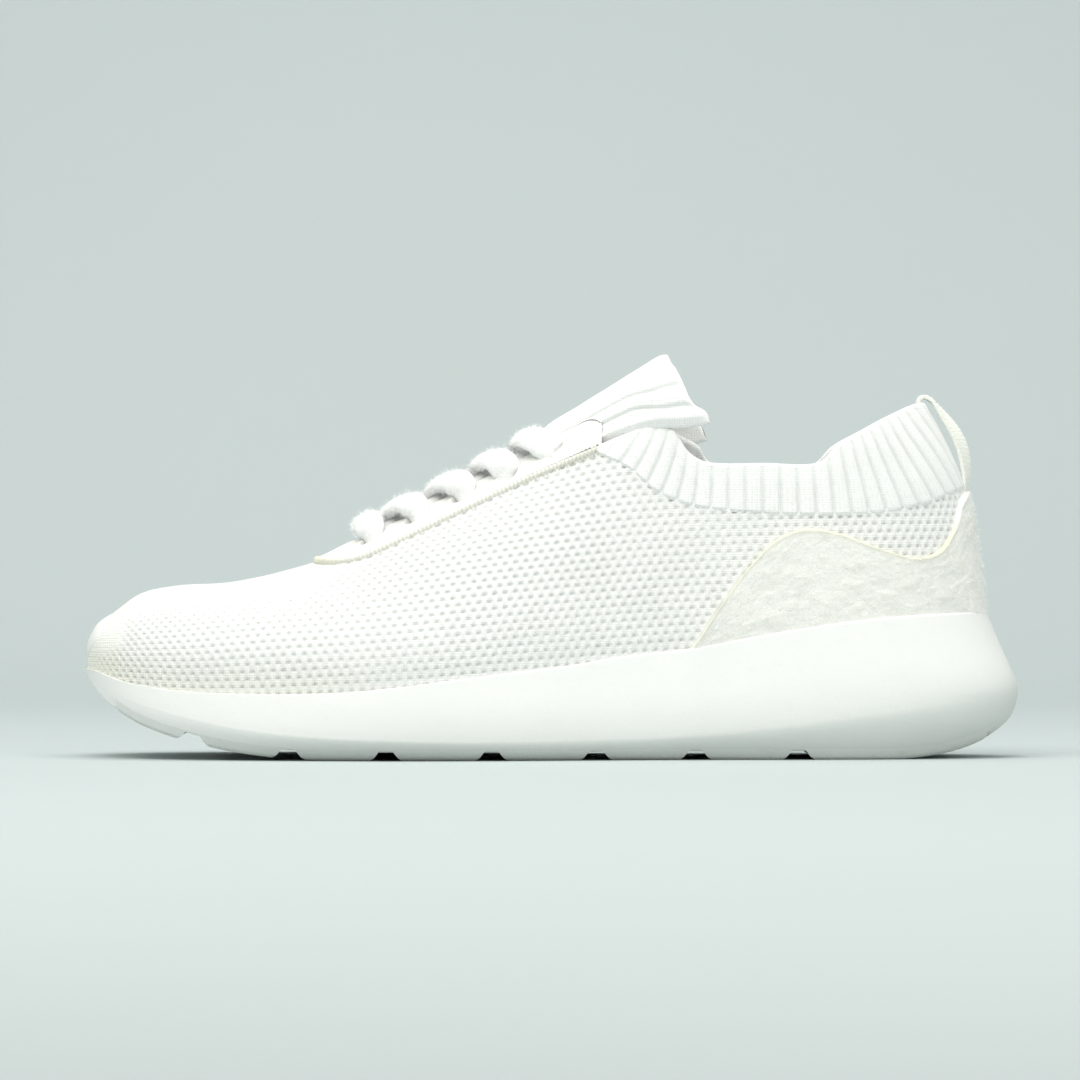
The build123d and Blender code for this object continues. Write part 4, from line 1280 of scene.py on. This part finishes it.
# ---- the tongue ----------------------------------------------------------------------------------------
tongue_crown = Track(
    (-64, 57.5), (-50, 66.3), (-30, 76.6), (-16, 85.4), (-10, 91.4), (-6, 98.6), (-2.5, 103.4), (1, 106.3),
    (8, 110.4), (15.5, 115.2), (23, 119.8), (30, 124.2), (34.5, 126.9), (37, 127.4), (50, 131),
)
tongue_half = Track((-64, 17), (-40, 20), (0, 17.5), (8, 16.5), (15, 19), (25, 23), (36, 26.5), (50, 27))
tongue_edge = Track(
    (-64, 52), (-50, 60), (-30, 70), (-10, 80.5), (0, 88), (9, 96.4), (17, 99.8), (26, 103.2), (34, 105.0),
    (41, 105.2), (48.4, 106.0), (52, 106.0),
)
tongue_end = Track(
    (0, 35.6), (0.5, 36.6), (0.8, 39.2), (0.93, 41.2), (0.975, 42.8), (0.99, 44.8), (1.0, 48.4))
TONGUE_THICK = 3.0
TONGUE_ROWS, TONGUE_COLUMNS = 150, 190
TONGUE_MIDDLE = TONGUE_ROWS // 2


def build_tongue():
    """The ribbed tongue from under the laces to its free end, with a thick soft edge."""
    across = np.sin(np.linspace(-1, 1, TONGUE_ROWS) * math.pi / 2)
    share = np.linspace(0, 1, TONGUE_COLUMNS)[None]
    width = across[:, None]
    far_edge = np.where(width > 0, 1.0, 0.0) * smooth_step(0.7, 1.0, np.abs(width)) * 5.0
    x = -62 + (tongue_end(np.abs(width)) + 62) * share
    angle = np.arcsin(width)
    y = tongue_half(x) * np.sign(width) * np.abs(np.sin(angle)) ** 0.9
    edge = tongue_edge(x) - far_edge * smooth_step(30, 40, x)
    z = edge + (tongue_crown(x) - edge) * np.cos(angle) ** 0.85
    outer = np.stack([x, y + centre_y(x) * smooth_step(0, -30, x), z], -1)
    along, over = np.gradient(outer, axis=1), np.gradient(outer, axis=0)
    normal = unit(np.cross(along, over))
    if normal[TONGUE_MIDDLE, TONGUE_COLUMNS // 2, 2] < 0:
        normal = -normal
    steps = np.linalg.norm(np.diff(outer, axis=0), axis=-1)
    girth = np.concatenate([np.zeros((1, TONGUE_COLUMNS)), np.cumsum(steps, axis=0)])
    girth -= girth[TONGUE_MIDDLE][None]
    scale = girth[-1][None] / girth[-1, 140]
    height, painted_shade = rib_pattern(girth / scale / 4.8 + 0.5)
    rim = np.minimum(girth - girth[0][None], girth[-1][None] - girth)
    shown = smooth_step(3.2, 5.5, rim)
    roll = np.exp(-(((rim - 1.6) / 1.7) ** 2)) * smooth_step(2, 12, x)
    lift = 0.6 * height * shown + 1.5 * roll
    free_end = (tongue_end(np.abs(width)) - x)
    lift *= smooth_step(0.0, 2.0, free_end)
    uneven = 0.35 * layered_noise(outer, 12, 21, 2) * smooth_step(4, 14, x)
    lift += uneven + 0.04 * value_noise(outer, 0.8, 22)
    face = outer + normal * lift[..., None]
    back = outer - normal * (TONGUE_THICK - 0.3 * np.exp(-(free_end / 1.5) ** 2))[..., None]
    inner = np.concatenate([back[::5], back[-1:]])[::-1]
    side_turns = []
    for low_index, sign in ((-1, 1), (0, -1)):
        rim_line = face[low_index]
        under = back[low_index]
        outward = unit(outer[low_index] - outer[low_index - 4 * sign])
        middle = (rim_line + under) / 2
        radius = (rim_line - under) / 2
        size = np.linalg.norm(radius, axis=-1, keepdims=True)
        side_turns.append(np.array([
            middle + radius * math.cos(turn) + outward * size * math.sin(turn)
            for turn in np.linspace(0, math.pi, 9)[1:-1]]))
    ring = np.concatenate([face, side_turns[0], inner, side_turns[1][::-1]])
    # Painted shade in the rib grooves, kept off the rolled rim.
    painted_shade_ring = np.concatenate([painted_shade * shown * 0.6, np.zeros((len(ring) - len(face), TONGUE_COLUMNS))])
    # The free end closes with a rounded edge.
    tip_rows = []
    last = ring[:, -1]
    face_ends = np.concatenate([face[::5], face[-1:]])[::-1][:, -1]
    mates = np.concatenate([back[:, -1], side_turns[0][::-1, -1], face_ends, side_turns[1][:, -1]])
    forward = unit(last - ring[:, -3])
    for turn in np.linspace(0, math.pi / 2, 6)[1:]:
        middle = (last + mates) / 2
        tip_rows.append(middle + (last - mates) / 2 * math.cos(turn) + forward * 1.3 * math.sin(turn))
    ring = np.concatenate([ring, np.array(tip_rows).transpose(1, 0, 2)], 1)
    painted_shade_ring = np.concatenate([painted_shade_ring, np.zeros((len(ring), 5))], 1)
    stain = 0.8 * np.exp(-(((ring[..., 0] - 35) / 5.5) ** 2 + ((ring[..., 2] - 125.5) / 4.5) ** 2))
    closed = np.concatenate([ring, ring[:1]])
    faces = grid_faces(*closed.shape[:2]) % (ring.shape[0] * ring.shape[1])
    tongue = make_object("tongue", ring, faces, rib_look, marks={"painted_shade": painted_shade_ring, "stain": stain})
    tongue.parent = None
    del tongue["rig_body"]
    fix_normals(tongue)
    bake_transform(tongue)
    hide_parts("tongue_base", "tongue_top")


build_tongue()


# ---- the pull tab ----------------------------------------------------------------------------------------
def build_tab():
    """A narrow webbing strap, from the heel seam up and over to the top of the collar."""
    route = [
        (130.6, 82.0), (131.4, 86.0), (131.9, 89.0), (131.7, 93.5), (130.6, 98.8), (128.0, 103.8),
        (124.3, 108.4), (121.2, 112.0), (118.9, 113.7), (117.2, 113.8), (116.0, 112.4), (115.9, 110.8),
    ]
    control = [np.array([x, 0.0, z]) for x, z in route]
    path = even_line(spline_line("tab_route", control), 0.4)
    side_way = np.array([0.0, 1.0, 0.0])
    out = np.cross(side_way, unit(np.gradient(path, axis=0)))
    half_wide, half_thick = 3.0, 0.55
    angle = np.linspace(0, 2 * math.pi, 40, endpoint=False)
    c, s = np.cos(angle), np.sin(angle)
    y = half_wide * np.sign(c) * np.abs(c) ** 0.35
    t = half_thick * np.sign(s) * np.abs(s) ** 0.6
    length = lengths_along(path)[:, None]
    slant = np.where(np.abs(y) < 2.4, y * 2.4, 0)
    weave = 0.09 * np.sin(length * 2 * math.pi / 1.5 + slant) * (np.abs(y) < 2.8)
    rail = 0.16 * (np.abs(np.abs(y) - 2.55) < 0.45)
    thick = t[None] + np.sign(t)[None] * (weave + rail)
    twist = 0.62 * np.sin(np.clip(length / 34, 0, 1) * math.pi)
    turned_side = side_way[None] * np.cos(twist) + out * np.sin(twist)
    turned_out = out * np.cos(twist) - side_way[None] * np.sin(twist)
    path = path - out * 1.2 * np.sin(twist)
    ring = path[:, None] + turned_side[:, None] * y[None, :, None] + turned_out[:, None] * thick[..., None]
    # Painted shade in the dips of the weave.
    painted_shade = np.clip(-weave * 5, 0, 1) + 0 * t[None]
    tab = make_object("heel_loop", ring, tube_faces(*ring.shape[:2]), tape_look, "tab", {"painted_shade": painted_shade})
    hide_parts("pull_tab")
    fix_normals(tab)


build_tab()

# ---- materials of the CAD pieces that stay ------------------------------------------------------------
for node, look in (
    ("lining", lining_look), ("insole_cloth", lining_look), ("insole_foam", insole_look),
    ("strobel_board", board_look), ("eyestay_backing", board_look), ("toe_puff", puff_look),
    ("heel_counter", puff_look),
    ("lace_tip_lateral", tip_look), ("lace_tip_medial", tip_look),
):
    mesh = frame["nodes"][node].data
    mesh.materials.clear()
    mesh.materials.append(look)

# ---- finish ------------------------------------------------------------------------------------------
bpy.context.scene.view_settings.view_transform = "Standard"
